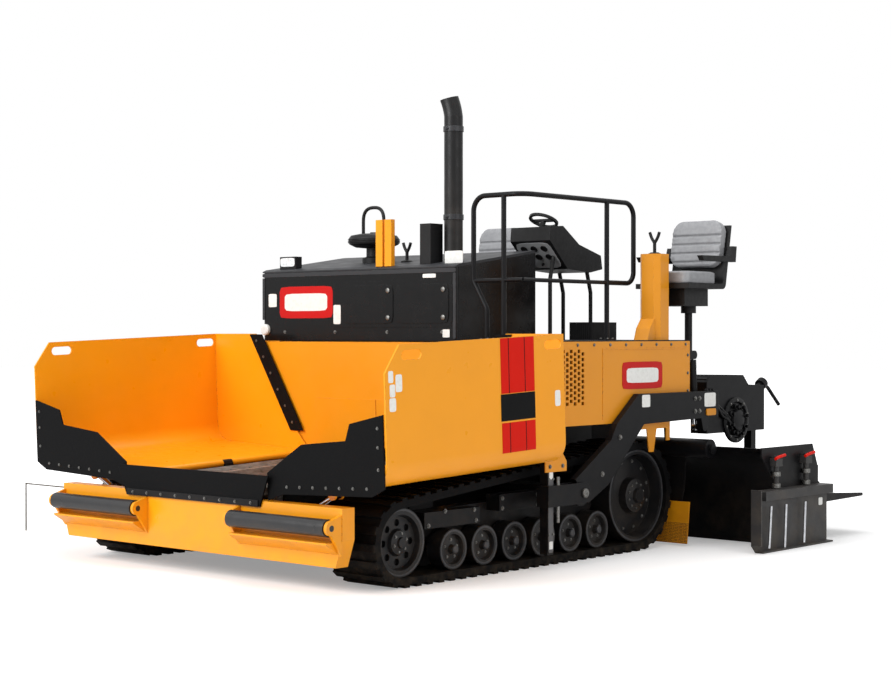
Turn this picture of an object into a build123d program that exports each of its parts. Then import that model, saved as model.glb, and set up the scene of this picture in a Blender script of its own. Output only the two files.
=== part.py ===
from build123d import *
import os
from math import atan2, cos, hypot, pi, radians, sin

# Asphalt paver on tracks: hopper in front, engine hood and operator's deck on the tractor,
# augers and a floating screed behind.
# Millimetres. +Z is up, the hopper faces -Y, +X is the machine's left side, z = 0 is the ground.
# Lengths along the machine are stations, measured back from the hopper's front edge.

os.makedirs("parts", exist_ok=True)

# Overall stations and the origin, which lies under the middle of the machine
ROLLER_STATION = -100.0
ROLLER_RADIUS = 57.0
WALKWAY_REAR = 5430.0
Y_MID = (WALKWAY_REAR + ROLLER_STATION - ROLLER_RADIUS) / 2

# Sheet steel thicknesses and running clearances
SHEET = 6.0
PLATE = 12.0
HEAVY_PLATE = 20.0
FIT_GAP = 0.3
PIN_SIDE_GAP = 6.0

# Hopper, tilted up towards the rear about its hinge line
HOPPER_TILT = 2.25
HOPPER_STATION = 20.0
HINGE_X = 700.0
HINGE_Z = 660.0
HINGE_PIN_RADIUS = 15.0
HINGE_TUBE_RADIUS = 26.0
WING_LENGTH = 1810.0
WING_OUTER_X = 1830.0
WING_HEIGHT = 937.0
WING_FLOOR_RISE = 45.0
WING_BEND_RADIUS = 150.0
WING_END_TOP_X = 1320.0
WING_END_LOW_X = 870.0
WING_END_LOW_W = 165.0
WING_NOTCH = (140.0, 178.0)
LIFT_SLOT = (186.0, 62.0)
SEAL_WIDTH = 140.0
SEAL_OVERLAP = 60.0
SEAL_THICK = 12.0

# Wing cylinders, in a plane across the hopper: foot on the frame, rod's eye under the wing
WING_CYL_V = 125.0
WING_FOOT = (790.0, -290.0)
WING_EYE = (1250.0, -40.0)
WING_CYL_RADIUS = 36.0
WING_ROD_RADIUS = 20.0
WING_BARREL_LENGTH = 340.0
WING_ROD_INSERTION = 285.0
WING_CYL_EYE = (30.0, 42.0, 14.0)
LUG_THICK = 15.0

# Push beam
BEAM_HALF_TOP = 1460.0
BEAM_HALF_LOW = 1400.0
BEAM_FRONT = -10.0
BEAM_DEPTH = 110.0
BEAM_LOW_Z = 175.0
BEAM_TOP_Z = 560.0
ROLLER_Z = 440.0
ROLLER_INNER_X = 505.0
ROLLER_OUTER_X = 1425.0
ROLLER_PIN_RADIUS = 20.0

# Main frame and the conveyor tunnel
FRAME_HALF = 655.0
FRAME_NOSE = BEAM_FRONT + HEAVY_PLATE
NOSE_Z = (270.0, 500.0)
FRAME_FRONT = 230.0
FRAME_REAR = 3730.0
BELLY_Z = 380.0
TUNNEL_ROOF_Z = 1150.0
BULKHEAD_GAP = 8.0

# Tractor body
DECK_Z = 1610.0
BODY_HALF = 1600.0
BODY_INNER_X = 1060.0
BODY_FRONT = 1900.0
BODY_REAR = 3710.0
BODY_LOW_Z = 1000.0

# Hood
HOOD_FRONT = 1950.0
HOOD_REAR = 2895.0
HOOD_LEFT_X = 700.0
HOOD_RIGHT_X = -1420.0
HOOD_FRONT_Z = 2165.0
HOOD_REAR_Z = 2300.0

# Tracks
TRACK_OUTER_X = 1500.0
TRACK_WIDTH = 456.0
BELT_THICK = 50.0
LUG_HEIGHT = 17.0
IDLER_STATION = 528.0
IDLER_RADIUS = 229.0
DRIVE_STATION = 3181.0
DRIVE_RADIUS = 357.0
BOGIE_STATIONS = (1050.0, 1375.0, 1700.0, 2025.0, 2350.0, 2675.0)
BOGIE_RADIUS = 139.0
WHEEL_OUTER_X = 1466.0
WHEEL_INNER_X = 1074.0

# Tow arms and screed
TOW_STATION = 2230.0
TOW_Z = 520.0
ARM_GAP = 8.0
TOW_ARM_THICK = 50.0
TOW_ARM_X = BODY_HALF + ARM_GAP + TOW_ARM_THICK / 2
TOW_PIN_RADIUS = 30.0
SCREED_HALF = 1525.0
SCREED_FRONT = 4730.0
SCREED_REAR = 5210.0
SCREED_LOW_Z = 5.0
SCREED_DECK_Z = 290.0
EXTENSION_INNER_X = 1050.0
EXTENSION_OUTER_X = 2180.0
EXTENSION_FRONT = 3830.0
EXTENSION_REAR = 4690.0
EXTENSION_TOP_Z = 780.0
GATE_X = 2245.0
GATE_FRONT = 3570.0
GATE_REAR = 4690.0
GATE_HEAD = 60.0

# Screed lift cylinders: foot on the tank's rear, rod's eye beside the tow arm
LIFT_X = 1560.0
LIFT_FOOT = (3800.0, 1500.0)
LIFT_EYE = (3840.0, 930.0)
LIFT_CYL_RADIUS = 32.0
LIFT_ROD_RADIUS = 18.0
LIFT_BARREL_LENGTH = 330.0
LIFT_ROD_INSERTION = 60.0
LIFT_CYL_EYE = (28.0, 24.0, 12.0)
LIFT_LUG_THICK = 10.0

# Augers
AUGER_STATION = 3930.0
AUGER_Z = 330.0
AUGER_RADIUS = 190.0
AUGER_SHAFT_RADIUS = 38.0
AUGER_INNER_X = 110.0
AUGER_OUTER_X = 1010.0
AUGER_PITCH = 300.0

SIDES = (("left", 1), ("right", -1))


def y(station):
    return station - Y_MID


def save(builder, name):
    builder.part.label = name
    export_step(builder.part, f"parts/{name}.step")


# A plane across the hopper's hinge line, v back from its front edge: sketch x is X,
# sketch y runs up square to the hinge line, and its normal points to the front.
def across_hopper(v):
    tilt = radians(HOPPER_TILT)
    origin = (0, y(HOPPER_STATION) + v * cos(tilt), HINGE_Z + v * sin(tilt))
    return Plane(origin=origin, x_dir=(1, 0, 0), z_dir=(0, -cos(tilt), -sin(tilt)))


# A plane along the hopper at one X: sketch x is v, back along the hinge line, sketch y is up,
# and its normal points to +X.
def along_hopper(x):
    tilt = radians(HOPPER_TILT)
    origin = (x, y(HOPPER_STATION), HINGE_Z)
    return Plane(origin=origin, x_dir=(0, cos(tilt), sin(tilt)), z_dir=(1, 0, 0))


# A plane along the machine at one X: sketch x is Y and sketch y is Z.
def along_machine(x):
    return Plane(origin=(x, 0, 0), x_dir=(0, 1, 0), z_dir=(1, 0, 0))


# A plane across the machine at one station: sketch x is X, sketch y is Z, normal to the front.
def across_machine(station):
    return Plane(origin=(0, y(station), 0), x_dir=(1, 0, 0), z_dir=(0, -1, 0))


def level(z):
    return Plane.XY.offset(z)


# A hydraulic cylinder as two pieces on one line: the barrel with its foot eye, and the rod
# with its end eye, both bored for a pin. foot and eye are points of the plane, insertion is how
# far the rod stands in the barrel, and eye_size is an eye's radius, width and pin radius.
def cylinder_parts(plane, foot, eye, barrel_length, insertion, barrel_radius, rod_radius, eye_size):
    eye_radius, eye_width, pin_radius = eye_size
    length = hypot(eye[0] - foot[0], eye[1] - foot[1])
    direction = plane.x_dir * ((eye[0] - foot[0]) / length) + plane.y_dir * ((eye[1] - foot[1]) / length)
    line = Plane(origin=plane.from_local_coords((foot[0], foot[1], 0)), x_dir=plane.z_dir, z_dir=direction)
    base = plane.offset(-eye_width / 2)
    body_start = eye_radius + 2 * PIN_SIDE_GAP
    with BuildPart() as barrel:
        with BuildSketch(base):
            with Locations(foot):
                Circle(eye_radius)
        extrude(amount=eye_width)
        with BuildSketch(line.offset(eye_radius / 2)):
            Circle(eye_width / 2 - 1)
        extrude(amount=body_start - eye_radius / 2)
        with BuildSketch(line.offset(body_start)):
            Circle(barrel_radius)
        extrude(amount=barrel_length - body_start)
        with BuildSketch(line.offset(barrel_length)):
            Circle(rod_radius + FIT_GAP)
        extrude(amount=-barrel_length + body_start + SHEET, mode=Mode.SUBTRACT)
        with BuildSketch(base):
            with Locations(foot):
                Circle(pin_radius + FIT_GAP)
        extrude(amount=eye_width, mode=Mode.SUBTRACT)
    with BuildPart() as rod:
        with BuildSketch(line.offset(barrel_length - insertion)):
            Circle(rod_radius)
        extrude(amount=length - barrel_length + insertion - eye_radius / 2)
        with BuildSketch(base):
            with Locations(eye):
                Circle(eye_radius)
        extrude(amount=eye_width)
        with BuildSketch(base):
            with Locations(eye):
                Circle(pin_radius + FIT_GAP)
        extrude(amount=eye_width, mode=Mode.SUBTRACT)
    return barrel, rod


# A point of the hopper's side view, v along the hinge line and w above it, as station and z.
def hopper_point(v, w):
    tilt = radians(HOPPER_TILT)
    station = HOPPER_STATION + v * cos(tilt) - w * sin(tilt)
    return station, HINGE_Z + v * sin(tilt) + w * cos(tilt)


# Main frame: side walls, belly plate and the roof of the conveyor tunnel, the cross tubes that
# carry the track frames, the compartment between the side tanks and the wings' hinge pins.
BULKHEAD_V = WING_LENGTH + BULKHEAD_GAP
BULKHEAD_REAR_V = BULKHEAD_V + PLATE
WALL_TOP_W = -20.0
HINGE_LUGS = (110.0, 900.0, 1690.0)
HINGE_LUG_LENGTH = 80.0
CROSS_TUBE_STATIONS = (1000.0, 2500.0)
CROSS_TUBE_Z = 480.0
CROSS_TUBE_SIZE = (240.0, 110.0)
TRACK_BEAM_INNER_X = 1215.0
DRIVE_CASE_RADIUS = 150.0

wall_front = hopper_point((FRAME_FRONT - HOPPER_STATION) / cos(radians(HOPPER_TILT)), WALL_TOP_W)
wall_rear = hopper_point(BULKHEAD_REAR_V, WALL_TOP_W)
roof_w = (TUNNEL_ROOF_Z + PLATE - wall_rear[1]) / cos(radians(HOPPER_TILT)) + WALL_TOP_W
deck_w = (DECK_Z - wall_rear[1]) / cos(radians(HOPPER_TILT)) + WALL_TOP_W
roof_front = hopper_point(BULKHEAD_REAR_V, roof_w)
deck_front = hopper_point(BULKHEAD_REAR_V, deck_w)
roof_low = hopper_point(BULKHEAD_REAR_V, roof_w - PLATE / cos(radians(HOPPER_TILT)))
wing_lug_gap = WING_CYL_EYE[1] / 2 + PIN_SIDE_GAP

with BuildPart() as main_frame:
    for _, side in SIDES:
        with BuildSketch(along_machine(side * FRAME_HALF)):
            with BuildLine():
                Polyline(
                    (y(FRAME_NOSE), NOSE_Z[0]),
                    (y(FRAME_FRONT), NOSE_Z[0]),
                    (y(FRAME_FRONT) + BELLY_Z - NOSE_Z[0], BELLY_Z),
                    (y(FRAME_REAR), BELLY_Z),
                    (y(FRAME_REAR), TUNNEL_ROOF_Z + PLATE),
                    (y(roof_front[0]), roof_front[1]),
                    (y(wall_rear[0]), wall_rear[1]),
                    (y(wall_front[0]), wall_front[1]),
                    (y(FRAME_FRONT), NOSE_Z[1]),
                    (y(FRAME_NOSE), NOSE_Z[1]),
                    close=True,
                )
            make_face()
        extrude(amount=side * HEAVY_PLATE)
        with BuildSketch(along_machine(side * BODY_INNER_X)):
            with BuildLine():
                Polyline(
                    (y(roof_low[0]), roof_low[1]),
                    (y(FRAME_REAR), roof_low[1]),
                    (y(FRAME_REAR), DECK_Z),
                    (y(deck_front[0]), DECK_Z),
                    close=True,
                )
            make_face()
        extrude(amount=side * PLATE)
    with BuildSketch(level(BELLY_Z)):
        with Locations((0, (y(FRAME_FRONT) + y(FRAME_REAR)) / 2)):
            Rectangle(2 * FRAME_HALF, FRAME_REAR - FRAME_FRONT)
    extrude(amount=PLATE)
    with BuildSketch(level(TUNNEL_ROOF_Z)):
        with Locations((0, (y(roof_low[0]) + y(FRAME_REAR)) / 2)):
            Rectangle(2 * BODY_INNER_X, FRAME_REAR - roof_low[0])
    extrude(amount=PLATE)
    with BuildSketch(across_machine(FRAME_REAR)):
        with Locations((0, (TUNNEL_ROOF_Z + DECK_Z) / 2)):
            Rectangle(2 * BODY_INNER_X, DECK_Z - TUNNEL_ROOF_Z)
    extrude(amount=HEAVY_PLATE)
    with BuildSketch(across_machine(FRAME_FRONT)):
        with Locations((0, sum(NOSE_Z) / 2)):
            Rectangle(2 * (FRAME_HALF + HEAVY_PLATE), NOSE_Z[1] - NOSE_Z[0])
    extrude(amount=-HEAVY_PLATE)
    for _, side in SIDES:
        with BuildSketch(along_machine(side * (FRAME_HALF + HEAVY_PLATE))):
            with Locations((y(DRIVE_STATION), BELT_THICK + LUG_HEIGHT + DRIVE_RADIUS)):
                Circle(DRIVE_CASE_RADIUS)
        extrude(amount=side * (WHEEL_INNER_X - FRAME_HALF - HEAVY_PLATE))
    for station in CROSS_TUBE_STATIONS:
        for _, side in SIDES:
            outward = Plane(origin=(side * (FRAME_HALF + HEAVY_PLATE), y(station), CROSS_TUBE_Z),
                            x_dir=(0, 1, 0), z_dir=(side, 0, 0))
            with BuildSketch(outward):
                Rectangle(*CROSS_TUBE_SIZE)
            extrude(amount=TRACK_BEAM_INNER_X - FRAME_HALF - HEAVY_PLATE)
    for v in HINGE_LUGS:
        with BuildSketch(across_hopper(v + HINGE_LUG_LENGTH / 2)):
            for _, side in SIDES:
                with Locations((side * HINGE_X, 0)):
                    Circle(HINGE_TUBE_RADIUS)
                with Locations((side * (FRAME_HALF + HINGE_X + 10) / 2, -HINGE_TUBE_RADIUS)):
                    Rectangle(HINGE_X - FRAME_HALF - 10, 2 * HINGE_TUBE_RADIUS)
        extrude(amount=HINGE_LUG_LENGTH)
    with BuildSketch(across_hopper(HINGE_LUGS[-1])):
        for _, side in SIDES:
            with Locations((side * HINGE_X, 0)):
                Circle(HINGE_PIN_RADIUS)
    extrude(amount=HINGE_LUGS[-1] - HINGE_LUGS[0])
    for v in (WING_CYL_V - wing_lug_gap, WING_CYL_V + wing_lug_gap + LUG_THICK):
        with BuildSketch(across_hopper(v)):
            for _, side in SIDES:
                with Locations((side * WING_FOOT[0], WING_FOOT[1])):
                    Circle(WING_CYL_EYE[0])
                with Locations((side * (FRAME_HALF + HEAVY_PLATE + WING_FOOT[0]) / 2, WING_FOOT[1])):
                    Rectangle(WING_FOOT[0] - FRAME_HALF - HEAVY_PLATE, 2 * WING_CYL_EYE[0])
        extrude(amount=LUG_THICK)
    with BuildSketch(across_hopper(WING_CYL_V + wing_lug_gap)):
        for _, side in SIDES:
            with Locations((side * WING_FOOT[0], WING_FOOT[1])):
                Circle(WING_CYL_EYE[2])
    extrude(amount=2 * wing_lug_gap)
save(main_frame, "main_frame")

# Fixed bulkhead behind the wings, standing on the frame's walls and on the ridge between the
# conveyors, with the two mouths of the tunnel.
BULKHEAD_TOP_W = 872.0
BULKHEAD_TOP_X = 1300.0
BULKHEAD_SIDE_W = 622.0
BULKHEAD_LOW = (860.0, 90.0)
BULKHEAD_LIP = 40.0
MOUTH_X = (45.0, 640.0)
MOUTH_TOP_W = 420.0
MOUTH_CORNER = 90.0
RIDGE_TOP_W = 30.0
with BuildPart() as bulkhead:
    with BuildSketch(across_hopper(BULKHEAD_REAR_V)):
        with BuildLine():
            Polyline(
                (-BULKHEAD_TOP_X, BULKHEAD_TOP_W),
                (BULKHEAD_TOP_X, BULKHEAD_TOP_W),
                (BULKHEAD_TOP_X, BULKHEAD_SIDE_W),
                BULKHEAD_LOW,
                (HINGE_X, WALL_TOP_W),
                (-HINGE_X, WALL_TOP_W),
                (-BULKHEAD_LOW[0], BULKHEAD_LOW[1]),
                (-BULKHEAD_TOP_X, BULKHEAD_SIDE_W),
                close=True,
            )
        make_face()
        with Locations((0, (WALL_TOP_W + RIDGE_TOP_W) / 2)):
            Rectangle(2 * MOUTH_X[1], RIDGE_TOP_W - WALL_TOP_W, mode=Mode.SUBTRACT)
        for _, side in SIDES:
            with BuildLine():
                Polyline(
                    (side * MOUTH_X[0], WALL_TOP_W),
                    (side * MOUTH_X[1], WALL_TOP_W),
                    (side * MOUTH_X[1], MOUTH_TOP_W - MOUTH_CORNER),
                    (side * (MOUTH_X[1] - MOUTH_CORNER), MOUTH_TOP_W),
                    (side * MOUTH_X[0], MOUTH_TOP_W),
                    close=True,
                )
            make_face(mode=Mode.SUBTRACT)
    extrude(amount=PLATE)
    with BuildSketch(across_hopper(BULKHEAD_REAR_V)):
        with Locations((0, BULKHEAD_TOP_W - PLATE / 2)):
            Rectangle(2 * BODY_INNER_X, PLATE)
    extrude(amount=-BULKHEAD_LIP)
save(bulkhead, "bulkhead")

# Conveyor beds in the hopper floor and the tunnel: two plates, a ridge between them and a
# sloped chain guard along each side; the slats ride on them with their chains.
BED_W = (-70.0, -58.0)
BED_V = (0.0, 3700.0)
RIDGE_HALF = (60.0, 25.0)
GUARD_WIDTH = 55.0
TAIL_RADIUS = 45.0
TAIL_V = 165.0
TAIL_SINK = 4.0
SLAT_X = (80.0, 580.0)
SLAT_SIZE = (30.0, 22.0)
SLAT_COUNT = 20
SLAT_FIRST_V = 90.0
CHAIN_SIZE = (22.0, 8.0)
with BuildPart() as feeder_bed:
    with BuildSketch(across_hopper(BED_V[1])):
        with Locations((0, sum(BED_W) / 2)):
            Rectangle(2 * FRAME_HALF, BED_W[1] - BED_W[0])
        with BuildLine():
            Polyline(
                (-RIDGE_HALF[0], BED_W[1]),
                (-RIDGE_HALF[1], RIDGE_TOP_W),
                (RIDGE_HALF[1], RIDGE_TOP_W),
                (RIDGE_HALF[0], BED_W[1]),
                close=True,
            )
        make_face()
        for _, side in SIDES:
            with BuildLine():
                Polyline(
                    (side * FRAME_HALF, BED_W[1]),
                    (side * (FRAME_HALF - GUARD_WIDTH), BED_W[1]),
                    (side * FRAME_HALF, WALL_TOP_W),
                    close=True,
                )
            make_face()
    extrude(amount=BED_V[1] - BED_V[0])
    with BuildSketch(along_hopper(-FRAME_HALF)):
        with Locations((TAIL_V, BED_W[0] - TAIL_RADIUS + TAIL_SINK)):
            Circle(TAIL_RADIUS)
    extrude(amount=2 * FRAME_HALF)
save(feeder_bed, "feeder_bed")

slat_step = (BED_V[1] - SLAT_FIRST_V - 60) / (SLAT_COUNT - 1)
with BuildPart() as feeder_slats:
    for _, side in SIDES:
        with BuildSketch(across_hopper(BED_V[1] - 20)):
            for x in SLAT_X:
                with Locations((side * x, BED_W[1] + CHAIN_SIZE[1] / 2)):
                    Rectangle(CHAIN_SIZE[0], CHAIN_SIZE[1])
        extrude(amount=BED_V[1] - BED_V[0] - 40)
    for i in range(SLAT_COUNT):
        with BuildSketch(across_hopper(SLAT_FIRST_V + i * slat_step + SLAT_SIZE[0])):
            for _, side in SIDES:
                with Locations((side * sum(SLAT_X) / 2, BED_W[1] + SLAT_SIZE[1] / 2)):
                    Rectangle(SLAT_X[1] - SLAT_X[0] + CHAIN_SIZE[0], SLAT_SIZE[1])
        extrude(amount=SLAT_SIZE[0])
save(feeder_slats, "feeder_slats")

# Hopper wings: a bent floor and side plate with a rear panel, hinged along the inner edge on
# tubes between the frame's lugs; the rubber seal and the front flap are one node a side.
FLOOR_INNER_X = HINGE_X + 40.0
WING_EAR_RADIUS = 34.0
FLAP_THICK = 12.0
SLOT_STATIONS = (250.0, 1690.0)
SLOT_W = 868.0
ear_top_w = WING_FLOOR_RISE * (WING_EYE[0] - FLOOR_INNER_X) / (WING_OUTER_X - FLOOR_INNER_X) + 5
for name, side in SIDES:
    with BuildPart() as wing:
        with BuildSketch(across_hopper(WING_LENGTH)):
            with BuildLine():
                FilletPolyline(
                    (side * FLOOR_INNER_X, 0),
                    (side * WING_OUTER_X, WING_FLOOR_RISE),
                    (side * WING_OUTER_X, WING_HEIGHT),
                    (side * (WING_OUTER_X - PLATE), WING_HEIGHT),
                    (side * (WING_OUTER_X - PLATE), WING_FLOOR_RISE + PLATE),
                    (side * FLOOR_INNER_X, PLATE),
                    radius=(0, WING_BEND_RADIUS, 0, 0, WING_BEND_RADIUS - PLATE, 0),
                    close=True,
                )
            make_face()
        extrude(amount=WING_LENGTH)
        with BuildSketch(across_hopper(WING_LENGTH)):
            with BuildLine():
                FilletPolyline(
                    (side * FLOOR_INNER_X, 0),
                    (side * WING_OUTER_X, WING_FLOOR_RISE),
                    (side * WING_OUTER_X, WING_HEIGHT),
                    (side * WING_END_TOP_X, WING_HEIGHT),
                    (side * WING_END_LOW_X, WING_END_LOW_W),
                    (side * FLOOR_INNER_X, PLATE),
                    radius=(0, WING_BEND_RADIUS, 0, 0, 0, 0),
                    close=True,
                )
            make_face()
        extrude(amount=PLATE)
        with BuildSketch(along_hopper(side * (WING_OUTER_X - 2 * PLATE))):
            with BuildLine():
                Polyline(
                    (-1, WING_HEIGHT + 1),
                    (WING_NOTCH[0], WING_HEIGHT + 1),
                    (-1, WING_HEIGHT - WING_NOTCH[1]),
                    close=True,
                )
            make_face()
            with Locations(*[(v, SLOT_W) for v in SLOT_STATIONS]):
                SlotOverall(*LIFT_SLOT)
        extrude(amount=side * 3 * PLATE, mode=Mode.SUBTRACT)
        for low, high in zip(HINGE_LUGS[:-1], HINGE_LUGS[1:]):
            tube_start = low + HINGE_LUG_LENGTH / 2 + 6
            tube_end = high - HINGE_LUG_LENGTH / 2 - 6
            with BuildSketch(across_hopper(tube_end)):
                with Locations((side * HINGE_X, 0)):
                    Circle(HINGE_TUBE_RADIUS)
                with Locations((side * (HINGE_X + FLOOR_INNER_X + 10) / 2, PLATE / 2)):
                    Rectangle(FLOOR_INNER_X - HINGE_X + 10, PLATE)
                with Locations((side * HINGE_X, 0)):
                    Circle(HINGE_PIN_RADIUS + FIT_GAP, mode=Mode.SUBTRACT)
            extrude(amount=tube_end - tube_start)
        for v in (WING_CYL_V - wing_lug_gap, WING_CYL_V + wing_lug_gap + LUG_THICK):
            with BuildSketch(across_hopper(v)):
                with Locations((side * WING_EYE[0], WING_EYE[1])):
                    Circle(WING_EAR_RADIUS)
                with Locations((side * WING_EYE[0], (WING_EYE[1] + ear_top_w) / 2)):
                    Rectangle(2 * WING_EAR_RADIUS, ear_top_w - WING_EYE[1])
            extrude(amount=LUG_THICK)
    save(wing, f"wing_{name}")

for name, side in SIDES:
    with BuildPart() as rubber:
        with BuildSketch(across_hopper(WING_LENGTH - PLATE)):
            with BuildLine():
                Polyline(
                    (side * (WING_END_TOP_X + SEAL_OVERLAP), WING_HEIGHT - 5),
                    (side * (WING_END_TOP_X + SEAL_OVERLAP - SEAL_WIDTH), WING_HEIGHT - 5),
                    (side * (WING_END_LOW_X + SEAL_OVERLAP - SEAL_WIDTH), WING_END_LOW_W),
                    (side * (WING_END_LOW_X + SEAL_OVERLAP), WING_END_LOW_W),
                    close=True,
                )
            make_face()
        extrude(amount=SEAL_THICK)
        with BuildSketch(across_hopper(0)):
            with BuildLine():
                Polyline(
                    (side * 745, -95),
                    (side * 745, 90),
                    (side * 1075, 290),
                    (side * 1480, 330),
                    (side * 1520, 440),
                    (side * 1812, 505),
                    (side * 1812, 40),
                    (side * 1700, -15),
                    (side * 900, -45),
                    close=True,
                )
            make_face()
        extrude(amount=FLAP_THICK)
    save(rubber, f"wing_rubber_{name}")

# Front apron: a hanging rubber sheet between the wings with a steel strip along its foot.
APRON_V = (-48.0, -36.0)
APRON_HALF = (700.0, 790.0)
APRON_W = (-136.0, 75.0)
STRIP_HEIGHT = 45.0
with BuildPart() as apron_flap:
    with BuildSketch(across_hopper(APRON_V[1])):
        with BuildLine():
            Polyline(
                (-APRON_HALF[0], APRON_W[0]),
                (APRON_HALF[0], APRON_W[0]),
                (APRON_HALF[1], APRON_W[1]),
                (-APRON_HALF[1], APRON_W[1]),
                close=True,
            )
        make_face()
    extrude(amount=APRON_V[1] - APRON_V[0])
    with BuildSketch(across_hopper(APRON_V[0])):
        with Locations((0, APRON_W[0] + STRIP_HEIGHT / 2)):
            Rectangle(2 * APRON_HALF[0] - 20, STRIP_HEIGHT)
    extrude(amount=SHEET)
save(apron_flap, "apron_flap")

# Push beam: an open-backed box across the front, with rounded ears that hold the push rollers.
EAR_THICK = 25.0
EAR_RADIUS = 48.0
ROLLER_END_GAP = 5.0
EAR_INNER_X = (ROLLER_INNER_X - ROLLER_END_GAP - EAR_THICK, ROLLER_OUTER_X + ROLLER_END_GAP)
ROLLER_BORE = ROLLER_PIN_RADIUS + FIT_GAP
with BuildPart() as push_beam:
    with BuildSketch(across_machine(BEAM_FRONT)):
        with BuildLine():
            Polyline(
                (-BEAM_HALF_TOP, BEAM_TOP_Z),
                (BEAM_HALF_TOP, BEAM_TOP_Z),
                (BEAM_HALF_TOP, BEAM_LOW_Z + 180),
                (BEAM_HALF_LOW, BEAM_LOW_Z),
                (-BEAM_HALF_LOW, BEAM_LOW_Z),
                (-BEAM_HALF_TOP, BEAM_LOW_Z + 180),
                close=True,
            )
        make_face()
    extrude(amount=-BEAM_DEPTH)
    back = push_beam.faces().sort_by(Axis.Y)[-1]
    offset(amount=-HEAVY_PLATE, openings=back)
    for _, side in SIDES:
        for inner in EAR_INNER_X:
            with BuildSketch(along_machine(side * inner)):
                with BuildLine():
                    Polyline(
                        (y(BEAM_FRONT) + 5, ROLLER_Z + 80),
                        (y(ROLLER_STATION), ROLLER_Z + EAR_RADIUS),
                        (y(ROLLER_STATION), ROLLER_Z - EAR_RADIUS),
                        (y(BEAM_FRONT) + 5, ROLLER_Z - 190),
                        close=True,
                    )
                make_face()
                with Locations((y(ROLLER_STATION), ROLLER_Z)):
                    Circle(EAR_RADIUS)
                    Circle(ROLLER_BORE, mode=Mode.SUBTRACT)
            extrude(amount=side * EAR_THICK)
        with BuildSketch(along_machine(side * (ROLLER_INNER_X - ROLLER_END_GAP))):
            with BuildLine():
                Polyline(
                    (y(BEAM_FRONT) + 5, ROLLER_Z - 95),
                    (y(ROLLER_STATION) - 20, ROLLER_Z - 95),
                    (y(ROLLER_STATION) - 20, ROLLER_Z - 107),
                    (y(BEAM_FRONT) + 5, ROLLER_Z - 180),
                    close=True,
                )
            make_face()
        extrude(amount=side * (ROLLER_OUTER_X - ROLLER_INNER_X + 2 * ROLLER_END_GAP))
save(push_beam, "push_beam")

for name, side in SIDES:
    with BuildPart() as roller:
        with BuildSketch(along_machine(side * ROLLER_INNER_X)):
            with Locations((y(ROLLER_STATION), ROLLER_Z)):
                Circle(ROLLER_RADIUS)
        extrude(amount=side * (ROLLER_OUTER_X - ROLLER_INNER_X))
        with BuildSketch(along_machine(side * EAR_INNER_X[0])):
            with Locations((y(ROLLER_STATION), ROLLER_Z)):
                Circle(ROLLER_PIN_RADIUS)
        extrude(amount=side * (EAR_INNER_X[1] + EAR_THICK - EAR_INNER_X[0]))
    save(roller, f"push_roller_{name}")

# Steering guide: a thin rod on a bracket at the beam's right end, with a pointer hanging at its tip.
GUIDE_ROD_RADIUS = 6.0
GUIDE_STATION = 190.0
GUIDE_END_X = -2222.0
GUIDE_ROD_Z = 498.0
POINTER_LOW_Z = 130.0
GUIDE_BRACKET = (150.0, 36.0)
with BuildPart() as steering_guide:
    with BuildSketch(along_machine(-BEAM_HALF_TOP)):
        with Locations((y(GUIDE_STATION) + 2 * GUIDE_ROD_RADIUS - GUIDE_BRACKET[0] / 2, GUIDE_ROD_Z)):
            Rectangle(*GUIDE_BRACKET)
    extrude(amount=-PLATE)
    with BuildSketch(Plane(origin=(-BEAM_HALF_TOP, y(GUIDE_STATION), GUIDE_ROD_Z),
                           x_dir=(0, 1, 0), z_dir=(-1, 0, 0))):
        Circle(GUIDE_ROD_RADIUS)
    extrude(amount=-GUIDE_END_X - BEAM_HALF_TOP)
    with BuildSketch(level(POINTER_LOW_Z)):
        with Locations((GUIDE_END_X, y(GUIDE_STATION))):
            Circle(GUIDE_ROD_RADIUS)
    extrude(amount=GUIDE_ROD_Z - POINTER_LOW_Z + GUIDE_ROD_RADIUS)
save(steering_guide, "steering_guide")

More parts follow.
